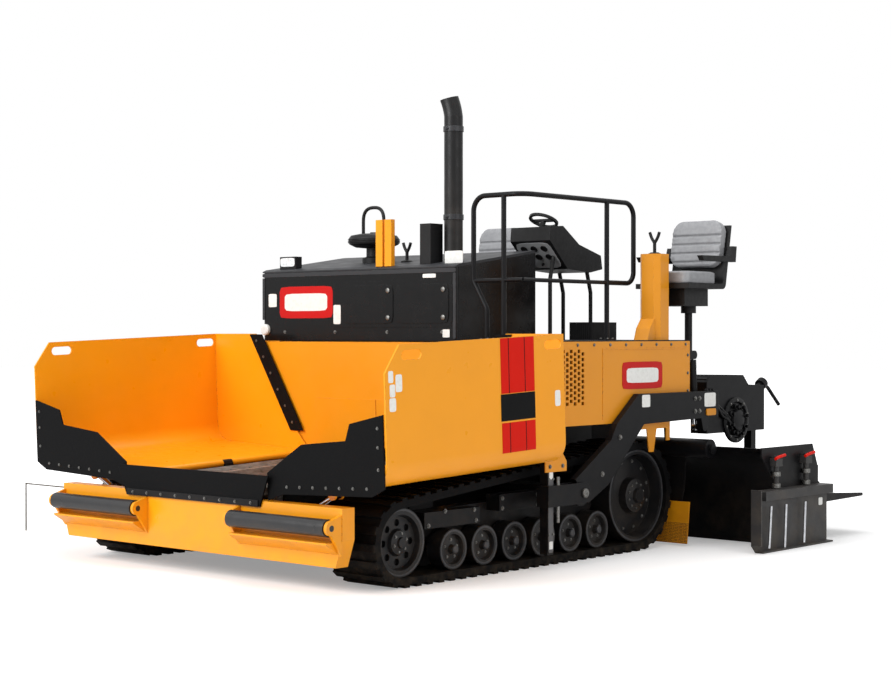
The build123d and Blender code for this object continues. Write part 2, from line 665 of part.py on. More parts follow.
# Side tanks over the tracks, hollow, with perforated air intakes in their outer plates.
INTAKE_HOLE = (30.0, 24.0)
INTAKE_STEP = (46.0, 40.0)
INTAKE_START = (2000.0, 1180.0)
INTAKE_COUNT = (8, 10)
for name, side in SIDES:
    with BuildPart() as tank:
        with BuildSketch(along_machine(side * (BODY_INNER_X + PLATE))):
            with BuildLine():
                Polyline(
                    (y(BODY_FRONT), BODY_LOW_Z + 40),
                    (y(BODY_FRONT) + 60, BODY_LOW_Z),
                    (y(BODY_REAR), BODY_LOW_Z),
                    (y(BODY_REAR), DECK_Z),
                    (y(BODY_FRONT), DECK_Z),
                    close=True,
                )
            make_face()
        extrude(amount=side * (BODY_HALF - BODY_INNER_X - PLATE))
        with BuildSketch(along_machine(side * (BODY_INNER_X + 2 * PLATE))):
            with BuildLine():
                Polyline(
                    (y(BODY_FRONT) + PLATE, BODY_LOW_Z + 46),
                    (y(BODY_FRONT) + 64, BODY_LOW_Z + PLATE),
                    (y(BODY_REAR) - PLATE, BODY_LOW_Z + PLATE),
                    (y(BODY_REAR) - PLATE, DECK_Z - PLATE),
                    (y(BODY_FRONT) + PLATE, DECK_Z - PLATE),
                    close=True,
                )
            make_face()
        extrude(amount=side * (BODY_HALF - BODY_INNER_X - 3 * PLATE), mode=Mode.SUBTRACT)
        holes = []
        for column in range(INTAKE_COUNT[0]):
            for row in range(INTAKE_COUNT[1]):
                shift = INTAKE_STEP[1] / 2 if column % 2 else 0
                holes.append((y(INTAKE_START[0] + column * INTAKE_STEP[0]),
                              INTAKE_START[1] + row * INTAKE_STEP[1] - shift))
        with BuildSketch(along_machine(side * (BODY_HALF - 2 * PLATE))):
            with Locations(*holes):
                Rectangle(*INTAKE_HOLE)
        extrude(amount=side * 3 * PLATE, mode=Mode.SUBTRACT)
    save(tank, f"side_tank_{name}")

# Brackets bolted to the tanks' rear plates, each with two lugs and the pin of a lift cylinder.
BRACKET_PLATE = (80.0, 110.0)
lift_lug_gap = LIFT_CYL_EYE[1] / 2 + PIN_SIDE_GAP
lift_lug_radius = LIFT_CYL_EYE[0] + PIN_SIDE_GAP
with BuildPart() as lift_brackets:
    for _, side in SIDES:
        with BuildSketch(across_machine(BODY_REAR)):
            with Locations((side * LIFT_X, LIFT_FOOT[1])):
                Rectangle(*BRACKET_PLATE)
        extrude(amount=-PLATE)
        for inner in (LIFT_X - lift_lug_gap - LIFT_LUG_THICK, LIFT_X + lift_lug_gap):
            with BuildSketch(along_machine(side * inner)):
                with Locations((y(LIFT_FOOT[0]), LIFT_FOOT[1])):
                    Circle(lift_lug_radius)
                with Locations((y((BODY_REAR + PLATE + LIFT_FOOT[0]) / 2), LIFT_FOOT[1])):
                    Rectangle(LIFT_FOOT[0] - BODY_REAR - PLATE, 2 * lift_lug_radius)
            extrude(amount=side * LIFT_LUG_THICK)
        with BuildSketch(along_machine(side * (LIFT_X - lift_lug_gap))):
            with Locations((y(LIFT_FOOT[0]), LIFT_FOOT[1])):
                Circle(LIFT_CYL_EYE[2])
        extrude(amount=side * 2 * lift_lug_gap)
save(lift_brackets, "lift_brackets")

# Engine, a plain block at its real place over the tunnel.
ENGINE_X = (-1000.0, 250.0)
ENGINE_STATION = (2080.0, 2800.0)
ENGINE_TOP_Z = 2020.0
with BuildPart() as engine_block:
    with BuildSketch(level(TUNNEL_ROOF_Z + PLATE)):
        with Locations((sum(ENGINE_X) / 2, y(sum(ENGINE_STATION) / 2))):
            Rectangle(ENGINE_X[1] - ENGINE_X[0], ENGINE_STATION[1] - ENGINE_STATION[0])
    extrude(amount=ENGINE_TOP_Z - TUNNEL_ROOF_Z - PLATE)
save(engine_block, "engine_block")

# Hood over the engine: folded side sheets with inset front panels, and a lighter top cover.
HOOD_CORNER = 35.0
INSET_DEPTH = 3.0
INSET_PANELS = ((-560.0, -140.0), (-60.0, 430.0))
INSET_Z = (1790.0, 2050.0)
hood_slope = (HOOD_REAR_Z - HOOD_FRONT_Z) / (HOOD_REAR - HOOD_FRONT)
with BuildPart() as hood:
    with BuildSketch(level(DECK_Z)):
        with Locations(((HOOD_LEFT_X + HOOD_RIGHT_X) / 2, y((HOOD_FRONT + HOOD_REAR) / 2))):
            Rectangle(HOOD_LEFT_X - HOOD_RIGHT_X, HOOD_REAR - HOOD_FRONT)
    extrude(amount=HOOD_REAR_Z - DECK_Z + 50)
    with BuildSketch(along_machine(HOOD_RIGHT_X - 10)):
        with BuildLine():
            Polyline(
                (y(HOOD_FRONT) - 10, HOOD_FRONT_Z - 10 * hood_slope),
                (y(HOOD_REAR) + 10, HOOD_REAR_Z + 10 * hood_slope),
                (y(HOOD_REAR) + 10, HOOD_REAR_Z + 200),
                (y(HOOD_FRONT) - 10, HOOD_REAR_Z + 200),
                close=True,
            )
        make_face()
    extrude(amount=HOOD_LEFT_X - HOOD_RIGHT_X + 20, mode=Mode.SUBTRACT)
    uprights = hood.edges().filter_by(Axis.Z).sort_by(Axis.Y)[:2]
    fillet(uprights, HOOD_CORNER)
    open_ends = hood.faces().sort_by(Axis.Z)[0]
    top_face = hood.faces().sort_by(Axis.Z)[-1]
    offset(amount=-SHEET, openings=[open_ends, top_face])
    with BuildSketch(across_machine(HOOD_FRONT)):
        for low, high in INSET_PANELS:
            with Locations(((low + high) / 2, sum(INSET_Z) / 2)):
                Rectangle(high - low, INSET_Z[1] - INSET_Z[0])
    extrude(amount=-INSET_DEPTH, mode=Mode.SUBTRACT)
save(hood, "hood")

TOP_THICK = 20.0
with BuildPart() as hood_top:
    with BuildSketch(along_machine(HOOD_RIGHT_X)):
        with BuildLine():
            Polyline(
                (y(HOOD_FRONT), HOOD_FRONT_Z),
                (y(HOOD_REAR), HOOD_REAR_Z),
                (y(HOOD_REAR), HOOD_REAR_Z + TOP_THICK),
                (y(HOOD_FRONT) + HOOD_CORNER, HOOD_FRONT_Z + TOP_THICK + HOOD_CORNER * hood_slope),
                (y(HOOD_FRONT), HOOD_FRONT_Z + TOP_THICK / 2),
                close=True,
            )
        make_face()
    extrude(amount=HOOD_LEFT_X - HOOD_RIGHT_X)
save(hood_top, "hood_top")


# Height of the hood's top cover at one station.
def hood_top_z(station):
    return HOOD_FRONT_Z + TOP_THICK + (station - HOOD_FRONT) * hood_slope


# The cover's top face, which cuts the foot of what stands on it.
cover_face = Plane(origin=(0, y(HOOD_FRONT), hood_top_z(HOOD_FRONT)), x_dir=(1, 0, 0),
                   z_dir=(0, -hood_slope, 1))
FOOT_SINK = 30.0

# Exhaust stack with its bent tip and the open box beside it, on the hood.
STACK_X = 420.0
STACK_STATION = 2240.0
STACK_RADIUS = 72.0
STACK_WALL = 4.0
STACK_BEND_Z = 3330.0
STACK_BEND_RADIUS = 260.0
STACK_BEND_ANGLE = 34.0
stack_foot = hood_top_z(STACK_STATION) - FOOT_SINK
with BuildPart() as exhaust_stack:
    with BuildLine() as stack_line:
        straight = Line((STACK_X, y(STACK_STATION), stack_foot), (STACK_X, y(STACK_STATION), STACK_BEND_Z))
        RadiusArc(
            straight @ 1,
            (STACK_X - STACK_BEND_RADIUS * (1 - cos(radians(STACK_BEND_ANGLE))), y(STACK_STATION),
             STACK_BEND_Z + STACK_BEND_RADIUS * sin(radians(STACK_BEND_ANGLE))),
            -STACK_BEND_RADIUS)
    with BuildSketch(Plane(origin=(STACK_X, y(STACK_STATION), stack_foot), z_dir=(0, 0, 1))):
        Circle(STACK_RADIUS)
        Circle(STACK_RADIUS - STACK_WALL, mode=Mode.SUBTRACT)
    sweep()
    split(bisect_by=cover_face, keep=Keep.TOP)
save(exhaust_stack, "exhaust_stack")

# Air pre-cleaner: a bowl on a neck with a hoop pipe over it.
CLEANER_X = -580.0
CLEANER_STATION = 2400.0
CLEANER_PROFILE = ((0, -30), (95, -30), (95, 30), (62, 42), (62, 120), (205, 130), (262, 165),
                   (268, 185), (240, 215), (0, 232))
HOOP_X = (-700.0, -470.0)
HOOP_TOP_Z = 2690.0
HOOP_RADIUS = 14.0
cleaner_foot = hood_top_z(CLEANER_STATION)
with BuildPart() as precleaner:
    with BuildSketch(Plane(origin=(CLEANER_X, y(CLEANER_STATION), cleaner_foot),
                           x_dir=(1, 0, 0), z_dir=(0, -1, 0))):
        with BuildLine():
            Polyline(*CLEANER_PROFILE, close=True)
        make_face()
    revolve(axis=Axis((CLEANER_X, y(CLEANER_STATION), 0), (0, 0, 1)))
    split(bisect_by=cover_face, keep=Keep.TOP)
    with BuildLine():
        FilletPolyline(
            (HOOP_X[0], y(CLEANER_STATION), cleaner_foot + 150),
            (HOOP_X[0], y(CLEANER_STATION), HOOP_TOP_Z),
            (HOOP_X[1], y(CLEANER_STATION), HOOP_TOP_Z),
            (HOOP_X[1], y(CLEANER_STATION), cleaner_foot + 150),
            radius=105,
        )
    with BuildSketch(Plane(origin=(HOOP_X[0], y(CLEANER_STATION), cleaner_foot + 150), z_dir=(0, 0, 1))):
        Circle(HOOP_RADIUS)
    sweep()
save(precleaner, "precleaner")

# Sighting posts on the hood's front edge; behind them the box beside the stack, and the lamp.
POST_X = (-112.0, -18.0)
POST_STATION = 1990.0
POST_WIDTH = 72.0
BOX_X = (235.0, 345.0)
BOX_STATION = (2060.0, 2200.0)
BOX_TOP_Z = 2510.0
POST_DEPTH = 40.0
POST_TOP_Z = 2550.0
LAMP_X = (-1265.0, -1080.0)
LAMP_STATION = 2035.0
LAMP_DEPTH = 70.0
LAMP_TOP_Z = 2295.0
with BuildPart() as sighting_posts:
    with BuildSketch(level(HOOD_FRONT_Z)):
        with Locations(*[(x, y(POST_STATION)) for x in POST_X]):
            Rectangle(POST_WIDTH, POST_DEPTH)
    extrude(amount=POST_TOP_Z - HOOD_FRONT_Z)
    split(bisect_by=cover_face, keep=Keep.TOP)
save(sighting_posts, "sighting_posts")

with BuildPart() as hood_fittings:
    with BuildSketch(level(HOOD_FRONT_Z)):
        with Locations((sum(BOX_X) / 2, y(sum(BOX_STATION) / 2))):
            Rectangle(BOX_X[1] - BOX_X[0], BOX_STATION[1] - BOX_STATION[0])
    extrude(amount=BOX_TOP_Z - HOOD_FRONT_Z)
    with BuildSketch(level(HOOD_FRONT_Z)):
        with Locations((sum(LAMP_X) / 2, y(LAMP_STATION))):
            Rectangle(LAMP_X[1] - LAMP_X[0], LAMP_DEPTH)
    extrude(amount=LAMP_TOP_Z - HOOD_FRONT_Z)
    split(bisect_by=cover_face, keep=Keep.TOP)
save(hood_fittings, "hood_fittings")

# Operator's deck: the platform behind the hood and the walkway beside it.
DECK_THICK = 8.0
DECK_REAR = 3730.0
with BuildPart() as deck:
    with BuildSketch(level(DECK_Z)):
        with Locations((0, y((HOOD_REAR + 5 + DECK_REAR) / 2))):
            Rectangle(2 * BODY_HALF, DECK_REAR - HOOD_REAR - 5)
        with Locations(((HOOD_LEFT_X + 5 + BODY_HALF) / 2, y((BODY_FRONT + HOOD_REAR + 5) / 2))):
            Rectangle(BODY_HALF - HOOD_LEFT_X - 5, HOOD_REAR + 5 - BODY_FRONT)
    extrude(amount=DECK_THICK)
save(deck, "deck")

# Handrail: a tube hoop round the walkway with two posts and a middle rail.
RAIL_RADIUS = 19.0
RAIL_TOP_Z = 2685.0
RAIL_MID_Z = 2060.0
RAIL_X = (830.0, 1300.0)
RAIL_FRONT = 2000.0
RAIL_REAR = 3370.0
RAIL_POSTS = ((1120.0, RAIL_FRONT), (RAIL_X[1], 3020.0))
RAIL_BEND = 110.0
deck_top = DECK_Z + DECK_THICK


def tube(points, radius, bends):
    with BuildLine() as line:
        FilletPolyline(*points, radius=bends)
    start = Plane(origin=line.line @ 0, z_dir=line.line % 0)
    with BuildSketch(start) as ring:
        Circle(radius)
    sweep(sections=ring.sketch, path=line.line)


with BuildPart() as handrail:
    tube(((RAIL_X[0] + 130, y(RAIL_FRONT), deck_top + RAIL_RADIUS),
          (RAIL_X[0] + 130, y(RAIL_FRONT), RAIL_MID_Z - 210),
          (RAIL_X[0], y(RAIL_FRONT), RAIL_MID_Z),
          (RAIL_X[0], y(RAIL_FRONT), RAIL_TOP_Z),
          (RAIL_X[1], y(RAIL_FRONT), RAIL_TOP_Z),
          (RAIL_X[1], y(RAIL_REAR), RAIL_TOP_Z),
          (RAIL_X[1], y(RAIL_REAR), RAIL_MID_Z),
          (RAIL_X[1], y(RAIL_POSTS[1][1]), RAIL_MID_Z)),
         RAIL_RADIUS, (90, 90, RAIL_BEND, RAIL_BEND, RAIL_BEND, 90))
    for x, station in RAIL_POSTS:
        with BuildSketch(level(deck_top)):
            with Locations((x, y(station))):
                Circle(RAIL_RADIUS)
        extrude(amount=RAIL_TOP_Z - deck_top)
    with BuildSketch(Plane(origin=(RAIL_X[0], y(RAIL_FRONT), RAIL_MID_Z), x_dir=(0, 1, 0), z_dir=(1, 0, 0))):
        Circle(RAIL_RADIUS * 0.8)
    extrude(amount=RAIL_X[1] - RAIL_X[0])
    with BuildSketch(Plane(origin=(RAIL_X[1], y(RAIL_FRONT), RAIL_MID_Z), x_dir=(1, 0, 0), z_dir=(0, 1, 0))):
        Circle(RAIL_RADIUS * 0.8)
    extrude(amount=RAIL_POSTS[1][1] - RAIL_FRONT)
    with BuildSketch(level(deck_top)):
        with Locations(*[(x, y(s)) for x, s in RAIL_POSTS], (RAIL_X[0] + 130, y(RAIL_FRONT))):
            Rectangle(90, 90)
    extrude(amount=10)
save(handrail, "handrail")

# Operator's console on legs: a wedge whose panel slopes down to the rear, with a hand wheel.
CONSOLE_X = (400.0, 800.0)
CONSOLE_PROFILE = ((2950, 2400), (2960, 2510), (3120, 2520), (3330, 2380), (3620, 2300),
                   (3640, 2190), (3480, 2160), (3180, 2180))
WHEEL_CENTRE = (3120.0, 2560.0)
WHEEL_RADIUS = 120.0
LEG_TUBE = 16.0
# Each pair of legs: station and z of its top, station of its foot
CONSOLE_LEGS = ((3080.0, 2300.0, 3030.0), (3500.0, 2200.0, 3560.0))
with BuildPart() as console:
    with BuildSketch(along_machine(CONSOLE_X[0])):
        with BuildLine():
            Polyline(*[(y(s), z) for s, z in CONSOLE_PROFILE], close=True)
        make_face()
    extrude(amount=CONSOLE_X[1] - CONSOLE_X[0])
    for x in (CONSOLE_X[0] + 60, CONSOLE_X[1] - 60):
        for top, z, foot in CONSOLE_LEGS:
            tube(((x, y(foot), deck_top), (x, y(foot), z - 200), (x, y(top), z)), LEG_TUBE, (60,))
    with BuildSketch(Plane(origin=(sum(CONSOLE_X) / 2, y(WHEEL_CENTRE[0]), WHEEL_CENTRE[1]),
                           x_dir=(1, 0, 0), z_dir=(0, 0.45, 1))):
        Circle(WHEEL_RADIUS)
        Circle(WHEEL_RADIUS - 22, mode=Mode.SUBTRACT)
        Rectangle(2 * WHEEL_RADIUS - 10, 24)
    extrude(amount=20)
    with BuildSketch(Plane(origin=(sum(CONSOLE_X) / 2, y(WHEEL_CENTRE[0]), WHEEL_CENTRE[1]),
                           x_dir=(1, 0, 0), z_dir=(0, 0.45, 1))):
        Circle(22)
    extrude(amount=-70)
save(console, "console")

# Yellow column at the deck's left edge, the box on the deck and the seat posts.
COLUMN_X = 1480.0
COLUMN_STATION = 3400.0
COLUMN_SIZE = (190.0, 190.0)
COLUMN_TOP_Z = 2285.0
COLUMN_CHAMFER = 40.0
DECK_BOX = (900.0, 3380.0, 240.0, 330.0, 140.0)
with BuildPart() as deck_column:
    with BuildSketch(level(deck_top)):
        with Locations((COLUMN_X, y(COLUMN_STATION))):
            Rectangle(*COLUMN_SIZE)
    extrude(amount=COLUMN_TOP_Z - deck_top)
    chamfer(deck_column.edges().filter_by(Axis.Z), COLUMN_CHAMFER)
    with BuildSketch(along_machine(COLUMN_X - COLUMN_SIZE[0] / 2 + 30)):
        with BuildLine():
            Polyline(
                (y(COLUMN_STATION) - COLUMN_SIZE[1] / 2 + 20, deck_top),
                (y(COLUMN_STATION) - COLUMN_SIZE[1] / 2 - 90, deck_top),
                (y(COLUMN_STATION) - COLUMN_SIZE[1] / 2 - 60, deck_top + 90),
                (y(COLUMN_STATION) - COLUMN_SIZE[1] / 2 + 20, deck_top + 190),
                close=True,
            )
        make_face()
    extrude(amount=COLUMN_SIZE[0] - 60)
save(deck_column, "deck_column")

with BuildPart() as deck_box:
    with BuildSketch(level(deck_top)):
        with Locations((DECK_BOX[0], y(DECK_BOX[1]))):
            Rectangle(DECK_BOX[2], DECK_BOX[3])
    extrude(amount=DECK_BOX[4])
    fillet(deck_box.edges().filter_by(Axis.Z), 20)
save(deck_box, "deck_box")

# Seats: a shell with armrests turning on a post, and a seat and back cushion each.
# name, pivot x, pivot station, post foot z, seat centre station
SEATS = (
    ("left", 1480.0, 3870.0, 1490.0, 3740.0),
    ("right", -330.0, 3480.0, deck_top, 3450.0),
)
SEAT_POST_RADIUS = 30.0
SEAT_BRACKET_HEIGHT = 100.0
SEAT_BASE = 260.0
SEAT_POST_TOP_Z = 1830.0
SEAT_PAN_Z = 2030.0
SEAT_HALF = 250.0
SEAT_DEPTH = 480.0
BACK_TOP_Z = 2560.0
CUSHION_THICK = 90.0
with BuildPart() as seat_posts:
    for name, px, ps, foot, centre in SEATS:
        with BuildSketch(level(foot)):
            with Locations((px, y(ps))):
                Circle(SEAT_POST_RADIUS)
        extrude(amount=SEAT_POST_TOP_Z - foot)
    with BuildSketch(level(SEATS[0][3])):
        with Locations((SEATS[0][1], y((BODY_REAR + SEATS[0][2]) / 2))):
            Rectangle(2 * SEAT_POST_RADIUS, SEATS[0][2] - BODY_REAR)
    extrude(amount=SEAT_BRACKET_HEIGHT)
    with BuildSketch(level(deck_top)):
        with Locations((SEATS[1][1], y(SEATS[1][2]))):
            Rectangle(SEAT_BASE, SEAT_BASE)
    extrude(amount=PLATE)
save(seat_posts, "seat_posts")

for name, px, ps, foot, centre in SEATS:
    with BuildPart() as seat:
        with BuildSketch(level(SEAT_POST_TOP_Z + FIT_GAP)):
            with Locations((px, y(ps))):
                Circle(60)
        extrude(amount=60)
        with BuildSketch(level(SEAT_POST_TOP_Z + 55)):
            with Locations((px, y(centre))):
                Rectangle(320, 330)
        extrude(amount=SEAT_PAN_Z - SEAT_POST_TOP_Z - 55)
        with BuildSketch(along_machine(px - SEAT_HALF)):
            with BuildLine():
                FilletPolyline(
                    (y(centre) - SEAT_DEPTH / 2, SEAT_PAN_Z - 10),
                    (y(centre) + SEAT_DEPTH / 2 + 40, SEAT_PAN_Z - 10),
                    (y(centre) + SEAT_DEPTH / 2 + 130, BACK_TOP_Z - 30),
                    (y(centre) + SEAT_DEPTH / 2 + 95, BACK_TOP_Z - 30),
                    (y(centre) + SEAT_DEPTH / 2 + 5, SEAT_PAN_Z + 30),
                    (y(centre) - SEAT_DEPTH / 2, SEAT_PAN_Z + 30),
                    radius=(0, 50, 0, 0, 20, 0),
                    close=True,
                )
            make_face()
        extrude(amount=2 * SEAT_HALF)
        for arm in (-1, 1):
            with BuildSketch(along_machine(px + arm * (SEAT_HALF + 15))):
                with BuildLine():
                    Polyline(
                        (y(centre) - 120, SEAT_PAN_Z + 205),
                        (y(centre) + SEAT_DEPTH / 2 + 95, SEAT_PAN_Z + 205),
                        (y(centre) + SEAT_DEPTH / 2 + 110, SEAT_PAN_Z + 330),
                        (y(centre) + SEAT_DEPTH / 2 + 45, SEAT_PAN_Z + 330),
                        (y(centre) + SEAT_DEPTH / 2 + 20, SEAT_PAN_Z + 250),
                        (y(centre) - 150, SEAT_PAN_Z + 245),
                        close=True,
                    )
                make_face()
            extrude(amount=arm * 45)
            with BuildSketch(along_machine(px + arm * (SEAT_HALF - 5))):
                with Locations((y(centre) + SEAT_DEPTH / 2 + 62, SEAT_PAN_Z + 235)):
                    Circle(22)
            extrude(amount=arm * 30)
    save(seat, f"seat_{name}")
    with BuildPart() as pads:
        with BuildSketch(level(SEAT_PAN_Z + 30 + FIT_GAP)):
            with Locations((px, y(centre) - 10)):
                RectangleRounded(2 * SEAT_HALF - 30, SEAT_DEPTH - 40, 60)
        extrude(amount=CUSHION_THICK)
        back_rise = BACK_TOP_Z - 30 - (SEAT_PAN_Z + 30)
        back_face = Plane(origin=(px, y(centre) + SEAT_DEPTH / 2 + 5, SEAT_PAN_Z + 30),
                          x_dir=(1, 0, 0), z_dir=(0, -back_rise, 90))
        with BuildSketch(back_face.offset(FIT_GAP)):
            with Locations((0, 320)):
                RectangleRounded(2 * SEAT_HALF - 10, 400, 110)
        extrude(amount=CUSHION_THICK - 10)
    save(pads, f"seat_pads_{name}")

# Tracks: a rubber belt round the idler and the drive wheel, with its tread bars in the outline.
TREAD_BARS = 66
TREAD_BAR_SHARE = 0.45
wheel_base = hypot(DRIVE_STATION - IDLER_STATION, DRIVE_RADIUS - IDLER_RADIUS)
belt_floor = BELT_THICK + LUG_HEIGHT
idler_centre = Vector(y(IDLER_STATION), belt_floor + IDLER_RADIUS)
drive_centre = Vector(y(DRIVE_STATION), belt_floor + DRIVE_RADIUS)
along = (drive_centre - idler_centre).normalized()
across = Vector(-along.Y, along.X)
lean = (IDLER_RADIUS - DRIVE_RADIUS) / wheel_base
top_normal = along * lean + across * (1 - lean ** 2) ** 0.5
top_line = Vector(top_normal.Y, -top_normal.X)
top_angle = atan2(top_normal.Y, top_normal.X)


# A point of the belt's loop, so far round from the idler's foot, and so far out from its inner
# face. The loop is the bottom run, the drive wheel's arc, the top run and the idler's arc.
def belt_point(distance, out):
    bottom_run = DRIVE_STATION - IDLER_STATION
    drive_turn = top_angle + pi / 2
    drive_arc = drive_turn * (DRIVE_RADIUS + BELT_THICK)
    top_run = (drive_centre + top_normal * DRIVE_RADIUS
               - idler_centre - top_normal * IDLER_RADIUS).length
    idler_arc = (2 * pi - drive_turn) * (IDLER_RADIUS + BELT_THICK)
    distance = distance % (bottom_run + drive_arc + top_run + idler_arc)
    down = Vector(0, -1)
    if distance < bottom_run:
        return idler_centre + down * (IDLER_RADIUS + out) + Vector(distance, 0)
    distance -= bottom_run
    if distance < drive_arc:
        angle = -pi / 2 + distance / (DRIVE_RADIUS + BELT_THICK)
        return drive_centre + Vector(cos(angle), sin(angle)) * (DRIVE_RADIUS + out)
    distance -= drive_arc
    if distance < top_run:
        return drive_centre + top_normal * (DRIVE_RADIUS + out) - top_line * distance
    distance -= top_run
    angle = top_angle + distance / (IDLER_RADIUS + BELT_THICK)
    return idler_centre + Vector(cos(angle), sin(angle)) * (IDLER_RADIUS + out)


BELT_LENGTH = (DRIVE_STATION - IDLER_STATION + (top_angle + pi / 2) * (DRIVE_RADIUS + BELT_THICK)
               + (drive_centre + top_normal * DRIVE_RADIUS
                  - idler_centre - top_normal * IDLER_RADIUS).length
               + (1.5 * pi - top_angle) * (IDLER_RADIUS + BELT_THICK))
bar_step = BELT_LENGTH / TREAD_BARS
tread_outline = []
for i in range(TREAD_BARS):
    start = i * bar_step
    end = start + bar_step * TREAD_BAR_SHARE
    tread_outline += [belt_point(start, BELT_THICK), belt_point(start, belt_floor),
                      belt_point(end, belt_floor), belt_point(end, BELT_THICK)]
WHEEL_FIT = 0.5
for name, side in SIDES:
    with BuildPart() as belt:
        with BuildSketch(along_machine(side * (TRACK_OUTER_X - TRACK_WIDTH))):
            with BuildLine():
                Polyline(*[(p.X, p.Y) for p in tread_outline], close=True)
            make_face()
            with BuildLine():
                Line((idler_centre.X, belt_floor), (drive_centre.X, belt_floor))
                ThreePointArc((drive_centre.X, belt_floor),
                              (drive_centre.X + DRIVE_RADIUS, drive_centre.Y),
                              tuple(drive_centre + top_normal * DRIVE_RADIUS)[:2])
                Line(tuple(drive_centre + top_normal * DRIVE_RADIUS)[:2],
                     tuple(idler_centre + top_normal * IDLER_RADIUS)[:2])
                ThreePointArc(tuple(idler_centre + top_normal * IDLER_RADIUS)[:2],
                              (idler_centre.X - IDLER_RADIUS, idler_centre.Y),
                              (idler_centre.X, belt_floor))
            make_face(mode=Mode.SUBTRACT)
        extrude(amount=side * TRACK_WIDTH)
    save(belt, f"track_belt_{name}")

# Track wheels: the idler with its ring of holes, twin bogie wheels, and the dished drive wheel
# with its hub gear case. Each profile is radius and distance in from the wheel's outer face.
BOGIE_FACE = 120.0
HOLE_RING = (8, 130.0, 24.0)
IDLER_PROFILE = ((0, -16), (34, -16), (38, 0), (80, 12), (92, 40), (172, 40), (184, 0),
                 (IDLER_RADIUS - WHEEL_FIT, 0), (IDLER_RADIUS - WHEEL_FIT, 392), (0, 392))
DRIVE_PROFILE = ((0, -34), (52, -34), (60, -6), (128, 10), (140, 70), (300, 92), (318, 0),
                 (DRIVE_RADIUS - WHEEL_FIT, 0), (DRIVE_RADIUS - WHEEL_FIT, 392), (0, 392))
BOGIE_PROFILE = ((0, -8), (26, -8), (34, 22), (92, 30), (104, 0),
                 (BOGIE_RADIUS - WHEEL_FIT, 0), (BOGIE_RADIUS - WHEEL_FIT, BOGIE_FACE), (0, BOGIE_FACE))
AXLE_RADIUS = 32.0
bogie_z = belt_floor + BOGIE_RADIUS
for name, side in SIDES:
    with BuildPart() as wheels:
        for profile, centre in ((IDLER_PROFILE, idler_centre), (DRIVE_PROFILE, drive_centre),
                                *[(BOGIE_PROFILE, Vector(y(s), bogie_z)) for s in BOGIE_STATIONS]):
            wheel_plane = Plane(origin=(side * WHEEL_OUTER_X, centre.X, centre.Y),
                                x_dir=(0, 0, 1), z_dir=(0, 1, 0) if side > 0 else (0, -1, 0))
            with BuildSketch(wheel_plane):
                with BuildLine():
                    Polyline(*[(radius, -depth) for radius, depth in profile], close=True)
                make_face()
            revolve(axis=Axis((0, centre.X, centre.Y), (1, 0, 0)))
        with BuildSketch(along_machine(side * (WHEEL_OUTER_X + 5))):
            with Locations((idler_centre.X, idler_centre.Y)):
                with PolarLocations(HOLE_RING[1], HOLE_RING[0]):
                    Circle(HOLE_RING[2])
        extrude(amount=-side * 75, mode=Mode.SUBTRACT)
        for station in BOGIE_STATIONS:
            with BuildSketch(along_machine(side * WHEEL_INNER_X)):
                with Locations((y(station), bogie_z)):
                    Circle(BOGIE_RADIUS - WHEEL_FIT)
            extrude(amount=side * BOGIE_FACE)
            with BuildSketch(along_machine(side * WHEEL_INNER_X)):
                with Locations((y(station), bogie_z)):
                    Circle(AXLE_RADIUS)
            extrude(amount=side * (WHEEL_OUTER_X - WHEEL_INNER_X - 40))
    save(wheels, f"track_wheels_{name}")

# Track frames between the twin wheels, with the tensioner cover and the side plates.
BEAM_Z = (290.0, 520.0)
BEAM_X = (TRACK_BEAM_INNER_X, 1325.0)
BEAM_STATIONS = (790.0, 2790.0)
